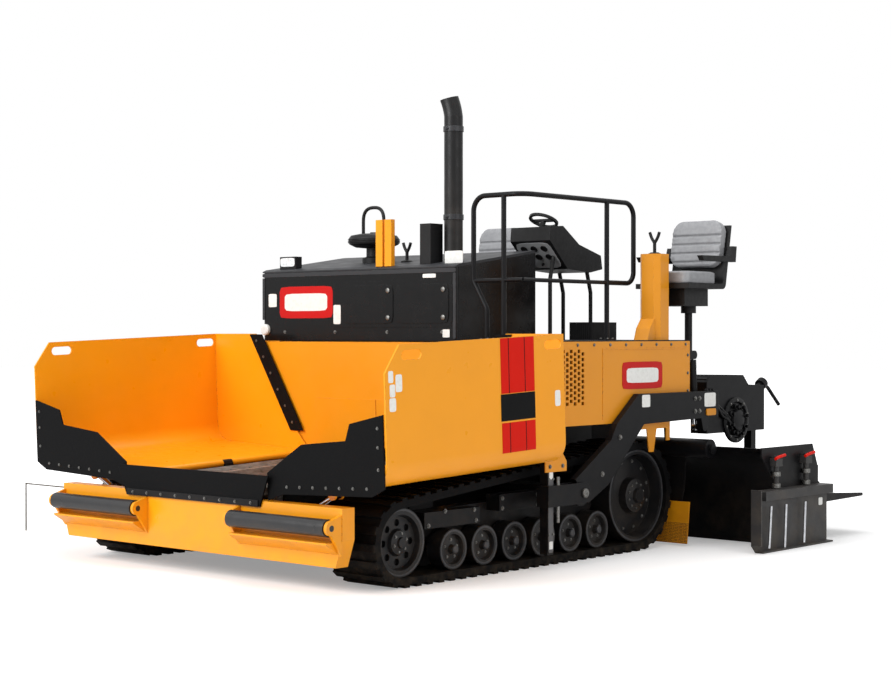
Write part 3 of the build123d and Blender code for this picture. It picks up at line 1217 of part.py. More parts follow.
# Each plate: first and last station, lowest and highest z, and the X of its face
COVER_PLATES = ((790.0, 1360.0, 360.0, 470.0, 1436.0), (1560.0, 2010.0, 425.0, 540.0, 1448.0))
YOKE_X = (1048.0, 1070.0)
YOKE_HALF_HEIGHT = 40.0
YOKE_CROSS_Z = (256.0, 460.0)
for name, side in SIDES:
    with BuildPart() as track_frame:
        with BuildSketch(along_machine(side * BEAM_X[0])):
            with BuildLine():
                Polyline(
                    (y(BEAM_STATIONS[0]), BEAM_Z[0] + 60),
                    (y(BEAM_STATIONS[0]) + 120, BEAM_Z[0]),
                    (y(BEAM_STATIONS[1]) - 60, BEAM_Z[0]),
                    (y(BEAM_STATIONS[1]), BEAM_Z[0] + 80),
                    (y(BEAM_STATIONS[1]) - 40, BEAM_Z[1]),
                    (y(BEAM_STATIONS[0]), BEAM_Z[1] - 60),
                    close=True,
                )
            make_face()
            with Locations(*[(y(s), bogie_z) for s in BOGIE_STATIONS]):
                Circle(AXLE_RADIUS + FIT_GAP, mode=Mode.SUBTRACT)
        extrude(amount=side * (BEAM_X[1] - BEAM_X[0]))
        for start, end, low, high, face in COVER_PLATES:
            with BuildSketch(along_machine(side * BEAM_X[1])):
                with Locations((y((start + end) / 2), (low + high) / 2)):
                    Rectangle(end - start, high - low)
            extrude(amount=side * (face - BEAM_X[1]))
        with BuildSketch(along_machine(side * YOKE_X[0])):
            with Locations((idler_centre.X, idler_centre.Y)):
                Circle(YOKE_HALF_HEIGHT)
            with Locations(((idler_centre.X + y(BEAM_STATIONS[0]) + YOKE_HALF_HEIGHT) / 2, idler_centre.Y)):
                Rectangle(y(BEAM_STATIONS[0]) + YOKE_HALF_HEIGHT - idler_centre.X, 2 * YOKE_HALF_HEIGHT)
        extrude(amount=side * (YOKE_X[1] - YOKE_X[0]))
        with BuildSketch(along_machine(side * YOKE_X[1])):
            with Locations((idler_centre.X, idler_centre.Y)):
                Circle(AXLE_RADIUS)
        extrude(amount=side * (WHEEL_INNER_X - YOKE_X[1]))
        with BuildSketch(along_machine(side * YOKE_X[0])):
            with Locations((y(BEAM_STATIONS[0]) + YOKE_HALF_HEIGHT / 2, sum(YOKE_CROSS_Z) / 2)):
                Rectangle(YOKE_HALF_HEIGHT, YOKE_CROSS_Z[1] - YOKE_CROSS_Z[0])
        extrude(amount=side * (BEAM_X[0] - YOKE_X[0]))
    save(track_frame, f"track_frame_{name}")

# Deflectors that sweep the ground behind the tracks, hung from the side tanks.
DEFLECTOR_STATION = 3650.0
DEFLECTOR_X = (1180.0, 1500.0)
DEFLECTOR_Z = (18.0, 350.0)
HANGER_X = (1240.0, 1300.0)
with BuildPart() as deflectors:
    for _, side in SIDES:
        with BuildSketch(across_machine(DEFLECTOR_STATION + PLATE)):
            with BuildLine():
                Polyline(
                    (side * DEFLECTOR_X[0], DEFLECTOR_Z[0]),
                    (side * DEFLECTOR_X[1], DEFLECTOR_Z[0]),
                    (side * (DEFLECTOR_X[1] + 30), DEFLECTOR_Z[1]),
                    (side * DEFLECTOR_X[0], DEFLECTOR_Z[1]),
                    close=True,
                )
            make_face()
            with Locations((side * sum(HANGER_X) / 2, (DEFLECTOR_Z[1] + BODY_LOW_Z) / 2)):
                Rectangle(HANGER_X[1] - HANGER_X[0], BODY_LOW_Z - DEFLECTOR_Z[1])
        extrude(amount=PLATE)
save(deflectors, "deflectors")

# Tow points: a scaled guide post a side with the clevis that holds the tow arm's pin.
GUIDE_POST_STATION = (1840.0, 1905.0)
GUIDE_POST_Z = (105.0, 770.0)
GUIDE_POST_X = (1585.0, 1655.0)
CLEVIS_GAP = 8.0
CLEVIS_THICK = 20.0
CLEVIS_Z = 150.0
HANGER_Z = 740.0
HANGER_THICK = 25.0
GUIDE_HANGER_X = (1515.0, 1595.0)
GUIDE_HANGER_STATION = (1965.0, 2035.0)
clevis_inner = TOW_ARM_X - TOW_ARM_THICK / 2 - CLEVIS_GAP
clevis_outer = TOW_ARM_X + TOW_ARM_THICK / 2 + CLEVIS_GAP
with BuildPart() as tow_guides:
    for _, side in SIDES:
        with BuildSketch(along_machine(side * GUIDE_POST_X[0])):
            with Locations((y(sum(GUIDE_POST_STATION) / 2), sum(GUIDE_POST_Z) / 2)):
                Rectangle(GUIDE_POST_STATION[1] - GUIDE_POST_STATION[0],
                          GUIDE_POST_Z[1] - GUIDE_POST_Z[0])
        extrude(amount=side * (GUIDE_POST_X[1] - GUIDE_POST_X[0]))
        for low in (clevis_inner - CLEVIS_THICK, clevis_outer):
            with BuildSketch(along_machine(side * low)):
                with Locations((y(TOW_STATION), TOW_Z)):
                    Circle(CLEVIS_Z / 2)
                with Locations((y((GUIDE_POST_STATION[0] + TOW_STATION) / 2), TOW_Z)):
                    Rectangle(TOW_STATION - GUIDE_POST_STATION[0], CLEVIS_Z)
            extrude(amount=side * CLEVIS_THICK)
        with BuildSketch(along_machine(side * (clevis_inner - CLEVIS_THICK))):
            with Locations((y(sum(GUIDE_POST_STATION) / 2), TOW_Z)):
                Rectangle(GUIDE_POST_STATION[1] - GUIDE_POST_STATION[0] + 60, CLEVIS_Z)
        extrude(amount=side * (clevis_outer - clevis_inner + 2 * CLEVIS_THICK))
        with BuildSketch(along_machine(side * clevis_inner)):
            with Locations((y(TOW_STATION), TOW_Z)):
                Circle(TOW_PIN_RADIUS)
        extrude(amount=side * (clevis_outer - clevis_inner))
        with BuildSketch(level(HANGER_Z)):
            with Locations((side * sum(GUIDE_HANGER_X) / 2, y(sum(GUIDE_HANGER_STATION) / 2))):
                Rectangle(GUIDE_HANGER_X[1] - GUIDE_HANGER_X[0],
                          GUIDE_HANGER_STATION[1] - GUIDE_HANGER_STATION[0])
        extrude(amount=BODY_LOW_Z - HANGER_Z)
        with BuildSketch(level(HANGER_Z)):
            with Locations((side * (GUIDE_HANGER_X[0] + GUIDE_POST_X[1]) / 2,
                            y((GUIDE_POST_STATION[0] + GUIDE_HANGER_STATION[1]) / 2))):
                Rectangle(GUIDE_POST_X[1] - GUIDE_HANGER_X[0],
                          GUIDE_HANGER_STATION[1] - GUIDE_POST_STATION[0])
        extrude(amount=HANGER_THICK)
save(tow_guides, "tow_guides")

# Auger case: the drive case in the middle, its cross tube and the outer bearing hangers.
CASE_HALF = 85.0
TUBE_STATION = 3790.0
TUBE_Z = 640.0
TUBE_RADIUS = 50.0
TUBE_END_X = 1180.0
BEARING_X = (1020.0, 1050.0)
BEARING_RADIUS = 70.0
SHAFT_STUB = 30.0
with BuildPart() as auger_frame:
    with BuildSketch(along_machine(-CASE_HALF)):
        with BuildLine():
            Polyline(
                (y(FRAME_REAR), 430),
                (y(AUGER_STATION) - 60, 230),
                (y(AUGER_STATION) + 60, 230),
                (y(AUGER_STATION) + 80, 420),
                (y(TUBE_STATION) + 60, 700),
                (y(FRAME_REAR), 720),
                close=True,
            )
        make_face()
    extrude(amount=2 * CASE_HALF)
    with BuildSketch(along_machine(-TUBE_END_X)):
        with Locations((y(TUBE_STATION), TUBE_Z)):
            Circle(TUBE_RADIUS)
    extrude(amount=2 * TUBE_END_X)
    for _, side in SIDES:
        with BuildSketch(along_machine(side * BEARING_X[0])):
            with Locations((y(AUGER_STATION), AUGER_Z)):
                Circle(BEARING_RADIUS)
            with BuildLine():
                Polyline(
                    (y(TUBE_STATION) - 40, TUBE_Z),
                    (y(TUBE_STATION) + 60, TUBE_Z),
                    (y(AUGER_STATION) + 50, AUGER_Z + 40),
                    (y(AUGER_STATION) - 60, AUGER_Z),
                    close=True,
                )
            make_face()
            with Locations((y(AUGER_STATION), AUGER_Z)):
                Circle(SHAFT_STUB + FIT_GAP, mode=Mode.SUBTRACT)
        extrude(amount=side * (BEARING_X[1] - BEARING_X[0]))
        with BuildSketch(along_machine(side * (FRAME_HALF - 15))):
            with BuildLine():
                Polyline(
                    (y(FRAME_REAR), TUBE_Z - 60),
                    (y(TUBE_STATION), TUBE_Z - 40),
                    (y(TUBE_STATION), TUBE_Z + 40),
                    (y(FRAME_REAR), TUBE_Z + 60),
                    close=True,
                )
            make_face()
        extrude(amount=side * 30)
save(auger_frame, "auger_frame")

# Augers: a shaft with one screw flight a side, wound opposite ways.
FLIGHT_STEPS = 12
FLIGHT_THICK = 14.0
for name, side in SIDES:
    turns = (AUGER_OUTER_X - AUGER_INNER_X - 40) / AUGER_PITCH
    with BuildPart() as auger:
        with BuildSketch(along_machine(side * (CASE_HALF + 5))):
            with Locations((y(AUGER_STATION), AUGER_Z)):
                Circle(AUGER_SHAFT_RADIUS)
        extrude(amount=side * (AUGER_OUTER_X - CASE_HALF - 5))
        with BuildSketch(along_machine(side * AUGER_OUTER_X)):
            with Locations((y(AUGER_STATION), AUGER_Z)):
                Circle(SHAFT_STUB)
        extrude(amount=side * (BEARING_X[1] - AUGER_OUTER_X))
        blade_count = int(turns * FLIGHT_STEPS)
        for i in range(blade_count):
            x = AUGER_INNER_X + 20 + i * AUGER_PITCH / FLIGHT_STEPS
            angle = side * i * 360 / FLIGHT_STEPS
            blade = Plane(origin=(side * x, y(AUGER_STATION), AUGER_Z), x_dir=(0, 1, 0),
                          z_dir=(1, 0, 0)).rotated((angle, 0, 0))
            with BuildSketch(blade):
                with BuildLine():
                    Polyline((0, 0), (AUGER_RADIUS * cos(radians(20)), -AUGER_RADIUS * sin(radians(20))),
                             (AUGER_RADIUS * cos(radians(20)), AUGER_RADIUS * sin(radians(20))), close=True)
                make_face()
            extrude(amount=side * (AUGER_PITCH / FLIGHT_STEPS + 2))
    save(auger, f"auger_{name}")

# Tow arms from the tow pins over the tracks' rear to the screed, with the lift cylinders' lugs.
ARM_PROFILE = ((2160.0, 620.0), (2591.0, 883.0), (2665.0, 1000.0), (2944.0, 1214.0), (4030.0, 1212.0),
               (4030.0, 1008.0), (3010.0, 985.0), (2560.0, 560.0), (2310.0, 440.0))
ARM_EYE_RADIUS = 95.0
LUG_TOP_Z = 1020.0
LUG_HALF = (60.0, 32.0)
BOSS_RADIUS = 24.0
arm_inner = TOW_ARM_X - TOW_ARM_THICK / 2
with BuildPart() as tow_arms:
    for _, side in SIDES:
        with BuildSketch(along_machine(side * arm_inner)):
            with BuildLine():
                Polyline(*[(y(s), z) for s, z in ARM_PROFILE], close=True)
            make_face()
            with Locations((y(TOW_STATION), TOW_Z)):
                Circle(ARM_EYE_RADIUS)
                Circle(TOW_PIN_RADIUS + FIT_GAP, mode=Mode.SUBTRACT)
            with BuildLine():
                Polyline(
                    (y(LIFT_EYE[0]) - LUG_HALF[0], LUG_TOP_Z),
                    (y(LIFT_EYE[0]) + LUG_HALF[0], LUG_TOP_Z),
                    (y(LIFT_EYE[0]) + LUG_HALF[1], LIFT_EYE[1]),
                    (y(LIFT_EYE[0]) - LUG_HALF[1], LIFT_EYE[1]),
                    close=True,
                )
            make_face()
            with Locations((y(LIFT_EYE[0]), LIFT_EYE[1])):
                Circle(LUG_HALF[1])
        extrude(amount=side * TOW_ARM_THICK)
        with BuildSketch(along_machine(side * (LIFT_X + LIFT_ROD_RADIUS + PIN_SIDE_GAP))):
            with Locations((y(LIFT_EYE[0]), LIFT_EYE[1])):
                Circle(BOSS_RADIUS)
        extrude(amount=side * (arm_inner - LIFT_X - LIFT_ROD_RADIUS - PIN_SIDE_GAP))
save(tow_arms, "tow_arms")

# Main screed: its heated box with the front wall, the slide rails, the deck at its rear, and
# the cheeks on the tow arms with their thickness cranks.
SCREED_WALL_TOP_Z = 610.0
SCREED_WALL_DEPTH = 85.0
RAIL_BAR_Z = (150.0, 520.0)
RAIL_BAR_SIZE = (45.0, 30.0)
CHEEK_X = (1455.0, arm_inner)
CHEEK_PROFILE = ((3940.0, 870.0), (4805.0, 870.0), (4805.0, 1240.0), (4560.0, 1250.0),
                 (4480.0, 1330.0), (4000.0, 1340.0), (3940.0, 1280.0))
with BuildPart() as screed_main:
    with BuildSketch(along_machine(-SCREED_HALF)):
        with BuildLine():
            Polyline(
                (y(SCREED_FRONT), SCREED_LOW_Z + 30),
                (y(SCREED_FRONT) + 30, SCREED_LOW_Z),
                (y(SCREED_REAR), SCREED_LOW_Z),
                (y(SCREED_REAR), SCREED_DECK_Z),
                (y(SCREED_FRONT) + SCREED_WALL_DEPTH, SCREED_DECK_Z),
                (y(SCREED_FRONT) + SCREED_WALL_DEPTH, SCREED_WALL_TOP_Z),
                (y(SCREED_FRONT), SCREED_WALL_TOP_Z),
                close=True,
            )
        make_face()
        with Locations((y(SCREED_FRONT) + 140 + (WALKWAY_REAR - SCREED_FRONT - 140) / 2, SCREED_DECK_Z + 4)):
            Rectangle(WALKWAY_REAR - SCREED_FRONT - 140, 8)
        with Locations(*[(y(SCREED_FRONT) - RAIL_BAR_SIZE[1] / 2, z) for z in RAIL_BAR_Z]):
            Rectangle(RAIL_BAR_SIZE[1], RAIL_BAR_SIZE[0])
    extrude(amount=2 * SCREED_HALF)
save(screed_main, "screed_main")

HANDLE_FOOT = (4900.0, 1255.0)
HANDLE_END = (5190.0, 1065.0)
with BuildPart() as screed_cheeks:
    for _, side in SIDES:
        with BuildSketch(along_machine(side * CHEEK_X[0])):
            with BuildLine():
                Polyline(*[(y(s), z) for s, z in CHEEK_PROFILE], close=True)
            make_face()
        extrude(amount=side * (CHEEK_X[1] - CHEEK_X[0]))
        with BuildSketch(level(SCREED_WALL_TOP_Z)):
            with Locations((side * (CHEEK_X[0] + 35), y(SCREED_FRONT) + SCREED_WALL_DEPTH / 2)):
                Rectangle(70, SCREED_WALL_DEPTH - 15)
        extrude(amount=CHEEK_PROFILE[0][1] - SCREED_WALL_TOP_Z + 5)
        with BuildSketch(Plane(origin=(side * (CHEEK_X[0] + 60), y(4790), HANDLE_FOOT[1] - 75),
                               x_dir=(1, 0, 0), z_dir=(0, 1, 0.55))):
            Circle(28)
        extrude(amount=130)
        with BuildSketch(Plane(origin=(side * (CHEEK_X[0] + 60), y(4890), HANDLE_FOOT[1] - 20),
                               x_dir=(1, 0, 0), z_dir=(0, 1, 0.55))):
            Circle(48)
        extrude(amount=50)
        tube(((side * (CHEEK_X[0] + 60), y(HANDLE_FOOT[0]) + 20, HANDLE_FOOT[1] - 10),
              (side * (CHEEK_X[0] + 60), y(HANDLE_FOOT[0]) + 110, HANDLE_FOOT[1] - 40),
              (side * (CHEEK_X[0] + 60), y(HANDLE_END[0]), HANDLE_END[1])), 15, (60,))
save(screed_cheeks, "screed_cheeks")

# Screed extensions that slide across in front of the main screed: a curved mouldboard between
# end plates, the heated shoe, the slide blocks on the main screed's rails, and the walkway.
MOULD_THICK = 16.0
MOULD_FOOT = (4180.0, 30.0)
MOULD_KNEE = (4160.0, 400.0)
MOULD_BEND = (4070.0, 640.0)
END_PLATE = 12.0
SHOE_Z = (5.0, 230.0)
BLOCK_X = ((1080.0, 1200.0), (1340.0, 1460.0))
EXT_WALKWAY_Z = 312.0
EXT_WALKWAY_STATION = 4850.0
EXT_WALKWAY_INNER_X = 1610.0
JACK_STATIONS = (3990.0, 4440.0)
JACK_RADIUS = 20.0
JACK_X = 2212.0
for name, side in SIDES:
    with BuildPart() as extension:
        with BuildSketch(along_machine(side * EXTENSION_INNER_X)):
            with BuildLine():
                Line((y(MOULD_FOOT[0]), MOULD_FOOT[1]), (y(MOULD_KNEE[0]), MOULD_KNEE[1]))
                ThreePointArc((y(MOULD_KNEE[0]), MOULD_KNEE[1]), (y(MOULD_BEND[0]), MOULD_BEND[1]),
                              (y(EXTENSION_FRONT), EXTENSION_TOP_Z))
                Line((y(EXTENSION_FRONT), EXTENSION_TOP_Z),
                     (y(EXTENSION_FRONT) + 50, EXTENSION_TOP_Z))
                ThreePointArc((y(EXTENSION_FRONT) + 50, EXTENSION_TOP_Z),
                              (y(MOULD_BEND[0]) + MOULD_THICK * 0.8, MOULD_BEND[1] + MOULD_THICK * 0.7),
                              (y(MOULD_KNEE[0]) + MOULD_THICK, MOULD_KNEE[1]))
                Line((y(MOULD_KNEE[0]) + MOULD_THICK, MOULD_KNEE[1]),
                     (y(MOULD_FOOT[0]) + MOULD_THICK, MOULD_FOOT[1]))
                Line((y(MOULD_FOOT[0]) + MOULD_THICK, MOULD_FOOT[1]), (y(MOULD_FOOT[0]), MOULD_FOOT[1]))
            make_face()
            with Locations((y((MOULD_FOOT[0] + EXTENSION_REAR) / 2), sum(SHOE_Z) / 2)):
                Rectangle(EXTENSION_REAR - MOULD_FOOT[0], SHOE_Z[1] - SHOE_Z[0])
            with Locations((y(EXTENSION_REAR) - 10, (SHOE_Z[1] + 560) / 2 + 20)):
                Rectangle(20, 560 - SHOE_Z[1] + 60)
        extrude(amount=side * (EXTENSION_OUTER_X - EXTENSION_INNER_X))
        with BuildSketch(along_machine(side * (EXTENSION_OUTER_X - END_PLATE))):
            with BuildLine():
                Polyline(
                    (y(MOULD_FOOT[0]), SHOE_Z[0]),
                    (y(MOULD_KNEE[0]) - 30, MOULD_KNEE[1]),
                    (y(EXTENSION_FRONT), EXTENSION_TOP_Z - 60),
                    (y(EXTENSION_FRONT), EXTENSION_TOP_Z + 6),
                    (y(EXTENSION_REAR) - 90, EXTENSION_TOP_Z + 6),
                    (y(EXTENSION_REAR), EXTENSION_TOP_Z - 190),
                    (y(EXTENSION_REAR), SHOE_Z[0]),
                    close=True,
                )
            make_face()
            with BuildLine():
                Polyline(
                    (y(EXTENSION_REAR) - 40, EXT_WALKWAY_Z - 10),
                    (y(WALKWAY_REAR), EXT_WALKWAY_Z),
                    (y(WALKWAY_REAR), EXT_WALKWAY_Z + 25),
                    (y(EXT_WALKWAY_STATION), EXT_WALKWAY_Z + 60),
                    (y(EXTENSION_REAR) - 40, EXT_WALKWAY_Z + 200),
                    close=True,
                )
            make_face()
        extrude(amount=side * END_PLATE)
        with BuildSketch(along_machine(side * EXTENSION_INNER_X)):
            with BuildLine():
                Polyline(
                    (y(MOULD_FOOT[0]) + 5, SHOE_Z[0]),
                    (y(MOULD_KNEE[0]) + 5, MOULD_KNEE[1]),
                    (y(MOULD_BEND[0]) + 15, MOULD_BEND[1] + 12),
                    (y(EXTENSION_REAR), 610),
                    (y(EXTENSION_REAR), SHOE_Z[0]),
                    close=True,
                )
            make_face()
        extrude(amount=side * END_PLATE)
        for low, high in BLOCK_X:
            for z in RAIL_BAR_Z:
                with BuildSketch(Plane(origin=(0, y(EXTENSION_REAR), 0), x_dir=(1, 0, 0), z_dir=(0, 1, 0))):
                    with Locations((side * (low + high) / 2, -z)):
                        Rectangle(high - low, 110)
                extrude(amount=SCREED_FRONT - RAIL_BAR_SIZE[1] - FIT_GAP - EXTENSION_REAR)
        with BuildSketch(level(EXT_WALKWAY_Z)):
            with Locations((side * (EXT_WALKWAY_INNER_X + EXTENSION_OUTER_X) / 2,
                            y((EXT_WALKWAY_STATION + WALKWAY_REAR) / 2))):
                Rectangle(EXTENSION_OUTER_X - EXT_WALKWAY_INNER_X, WALKWAY_REAR - EXT_WALKWAY_STATION)
        extrude(amount=8)
    save(extension, f"extension_{name}")

    # End gate: the side plate with its ski and front flange, hung on two jacks.
    with BuildPart() as gate:
        with BuildSketch(along_machine(side * GATE_X)):
            with BuildLine():
                Polyline(
                    (y(GATE_FRONT), 60),
                    (y(GATE_FRONT) + 60, 3),
                    (y(GATE_REAR), 3),
                    (y(GATE_REAR), 400),
                    (y(GATE_FRONT), 480),
                    close=True,
                )
            make_face()
        extrude(amount=side * PLATE)
        with BuildSketch(across_machine(GATE_FRONT + PLATE)):
            with Locations((side * (GATE_X + 45), 275)):
                Rectangle(90, 420)
        extrude(amount=PLATE)
        with BuildSketch(level(3)):
            with Locations((side * (GATE_X + 35), y((GATE_FRONT + 60 + GATE_REAR) / 2))):
                Rectangle(70, GATE_REAR - GATE_FRONT - 60)
        extrude(amount=12)
        with BuildSketch(along_machine(side * (EXTENSION_OUTER_X + FIT_GAP))):
            with Locations((y((GATE_FRONT + 120 + GATE_REAR + 20) / 2), 430)):
                Rectangle(GATE_REAR - GATE_FRONT - 100, 70)
        extrude(amount=side * (GATE_X + GATE_HEAD - EXTENSION_OUTER_X - FIT_GAP))
        for station in JACK_STATIONS:
            with BuildSketch(level(60)):
                with Locations((side * JACK_X, y(station))):
                    Circle(JACK_RADIUS)
            extrude(amount=660)
            with BuildSketch(level(640)):
                with Locations((side * (EXTENSION_OUTER_X + 31), y(station))):
                    Rectangle(60, 90)
            extrude(amount=60)
    save(gate, f"end_gate_{name}")

# Wing cylinders under the hopper's front, from the frame's foot lugs to the wings' ears.
for name, side in SIDES:
    barrel, rod = cylinder_parts(
        across_hopper(WING_CYL_V), (side * WING_FOOT[0], WING_FOOT[1]), (side * WING_EYE[0], WING_EYE[1]),
        WING_BARREL_LENGTH, WING_ROD_INSERTION, WING_CYL_RADIUS, WING_ROD_RADIUS, WING_CYL_EYE)
    save(barrel, f"wing_barrel_{name}")
    save(rod, f"wing_rod_{name}")

# Screed lift cylinders, from the lugs on the tanks' rear down to the tow arms.
for name, side in SIDES:
    barrel, rod = cylinder_parts(
        along_machine(side * LIFT_X), (y(LIFT_FOOT[0]), LIFT_FOOT[1]), (y(LIFT_EYE[0]), LIFT_EYE[1]),
        LIFT_BARREL_LENGTH, LIFT_ROD_INSERTION, LIFT_CYL_RADIUS, LIFT_ROD_RADIUS, LIFT_CYL_EYE)
    save(barrel, f"lift_barrel_{name}")
    save(rod, f"lift_rod_{name}")
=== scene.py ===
import bmesh
import bpy
import numpy as np
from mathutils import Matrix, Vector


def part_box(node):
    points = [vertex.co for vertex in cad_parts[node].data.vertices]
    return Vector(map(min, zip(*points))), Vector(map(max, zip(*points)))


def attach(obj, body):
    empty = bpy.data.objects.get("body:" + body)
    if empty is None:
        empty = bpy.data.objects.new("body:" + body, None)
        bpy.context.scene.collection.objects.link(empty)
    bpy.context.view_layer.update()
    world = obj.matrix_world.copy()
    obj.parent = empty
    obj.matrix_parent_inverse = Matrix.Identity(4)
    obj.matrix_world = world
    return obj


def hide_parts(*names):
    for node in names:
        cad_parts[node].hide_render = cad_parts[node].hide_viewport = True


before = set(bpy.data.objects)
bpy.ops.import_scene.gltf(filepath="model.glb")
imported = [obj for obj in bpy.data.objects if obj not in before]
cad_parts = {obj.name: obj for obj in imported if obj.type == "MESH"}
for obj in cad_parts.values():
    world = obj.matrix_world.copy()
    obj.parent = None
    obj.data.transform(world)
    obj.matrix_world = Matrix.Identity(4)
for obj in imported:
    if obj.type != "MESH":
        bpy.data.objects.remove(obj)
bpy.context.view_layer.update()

scene = bpy.context.scene
scene.view_settings.view_transform = "Standard"


# Studio: a white floor and surround under broad soft lamps ahead, overhead and to the left. The
# floor glows more with distance for the camera alone, which leaves only a soft shadow. The camera
# stands at eye height, ahead and to the machine's left.
class Wire:
    """A node's output that can stand in sums and products: each operator adds one Math node."""

    def __init__(self, tree, socket):
        self.tree, self.socket = tree, socket

    def math(self, operation, a, b):
        return self.tree.node("ShaderNodeMath", {"operation": operation}, {0: a, 1: b})

    def __add__(self, other):
        return self.math("ADD", self, other)

    def __sub__(self, other):
        return self.math("SUBTRACT", self, other)

    def __rsub__(self, other):
        return self.math("SUBTRACT", other, self)

    def __mul__(self, other):
        return self.math("MULTIPLY", self, other)

    __radd__ = __add__
    __rmul__ = __mul__


class Tree:
    """The nodes of the surround, the floor or a finish; node() takes a type, settings and sockets."""

    def __init__(self, owner):
        owner.use_nodes = True
        self.nodes, self.links = owner.node_tree.nodes, owner.node_tree.links

    def node(self, kind, settings=None, sockets=None, out=0):
        made = self.nodes.new(kind)
        for key, value in (settings or {}).items():
            if key == "stops":
                ramp = made.color_ramp
                while len(ramp.elements) < len(value):
                    ramp.elements.new(0.5)
                for element, (position, colour) in zip(ramp.elements, value):
                    element.position, element.color = position, colour
            else:
                setattr(made, key, value)
        for key, value in (sockets or {}).items():
            self.put(made.inputs[key], value)
        return Wire(self, made.outputs[out])

    def math(self, operation, value):
        return self.node("ShaderNodeMath", {"operation": operation}, {0: value})

    def put(self, socket, value):
        if isinstance(value, Wire):
            self.links.new(value.socket, socket)
        else:
            socket.default_value = value


EYE = (9.3342, -10.5402, 1.6739)
EYE_TURN = (89.49, 0.0, 41.57)
LENS_MM, SENSOR_MM = 71.07, 36.0
AMBIENT = 0.46


def placed(name, data):
    """An object in the scene that shows data, such as a mesh."""
    made = bpy.data.objects.new(name, data)
    scene.collection.objects.link(made)
    return made


eye = bpy.data.cameras.new("eye")
eye.lens, eye.sensor_width, eye.clip_end = LENS_MM, SENSOR_MM, 300.0
scene.camera = placed("eye", eye)
scene.camera.location, scene.camera.rotation_euler = EYE, np.radians(EYE_TURN)

surround = bpy.data.worlds.new("surround")
scene.world = surround
air = Tree(surround)
ray = air.node("ShaderNodeLightPath")
seen = ray.math("MAXIMUM", ray.math("MAXIMUM", ray, Wire(air, ray.socket.node.outputs["Is Glossy Ray"])),
                Wire(air, ray.socket.node.outputs["Is Transmission Ray"]))
air.put(air.nodes["Background"].inputs["Color"], (1.0, 1.0, 1.0, 1.0))
air.put(air.nodes["Background"].inputs["Strength"], seen * (1.0 - AMBIENT) + AMBIENT)

# Each lamp: name, place, aim, size and power in watts
LAMPS = (
    ("front_lamp", (-2.5, -13.0, 7.5), (0.0, -1.0, 1.0), 7.0, 1500.0),
    ("top_lamp", (1.5, -1.0, 12.0), (0.0, 0.0, 1.0), 9.0, 700.0),
    ("side_lamp", (12.0, -1.0, 4.5), (0.0, 0.0, 1.0), 6.0, 240.0),
)
for name, place, aim, size, power in LAMPS:
    lamp = bpy.data.lights.new(name, "AREA")
    lamp.size, lamp.energy = size, power
    stand = placed(name, lamp)
    back = np.subtract(place, aim)
    stand.location = place
    stand.rotation_euler = (np.arctan2(np.hypot(back[0], back[1]), back[2]), 0.0,
                            np.arctan2(back[0], -back[1]))

FLOOR = 60.0
# The glow's start and end, in metres from the origin, and its strength there
GLOW_NEAR, GLOW_FAR = (3.4, 0.3), (7.0, 1.0)
floor_mesh = bpy.data.meshes.new("floor")
floor_mesh.from_pydata([(-FLOOR, -FLOOR, 0), (FLOOR, -FLOOR, 0), (FLOOR, FLOOR, 0), (-FLOOR, FLOOR, 0)], [],
                       [(0, 1, 2, 3)])
placed("floor", floor_mesh)
floor_paint = bpy.data.materials.new("floor_white")
ground = Tree(floor_paint)
matte = ground.nodes["Principled BSDF"]
ground.put(matte.inputs["Base Color"], (0.86, 0.86, 0.86, 1.0))
ground.put(matte.inputs["Roughness"], 1.0)
ground.put(matte.inputs["Specular IOR Level"], 0.0)
ground.put(matte.inputs["Emission Color"], (1.0, 1.0, 1.0, 1.0))
away = ground.node("ShaderNodeVectorMath", {"operation": "LENGTH"},
                   {0: ground.node("ShaderNodeTexCoord", out=3)}, 1)
glow = ground.node("ShaderNodeMapRange", {}, {0: away, 1: GLOW_NEAR[0], 2: GLOW_FAR[0], 3: GLOW_NEAR[1],
                                              4: GLOW_FAR[1]})
ground.put(matte.inputs["Emission Strength"], ground.node("ShaderNodeLightPath") * glow)
floor_mesh.materials.append(floor_paint)


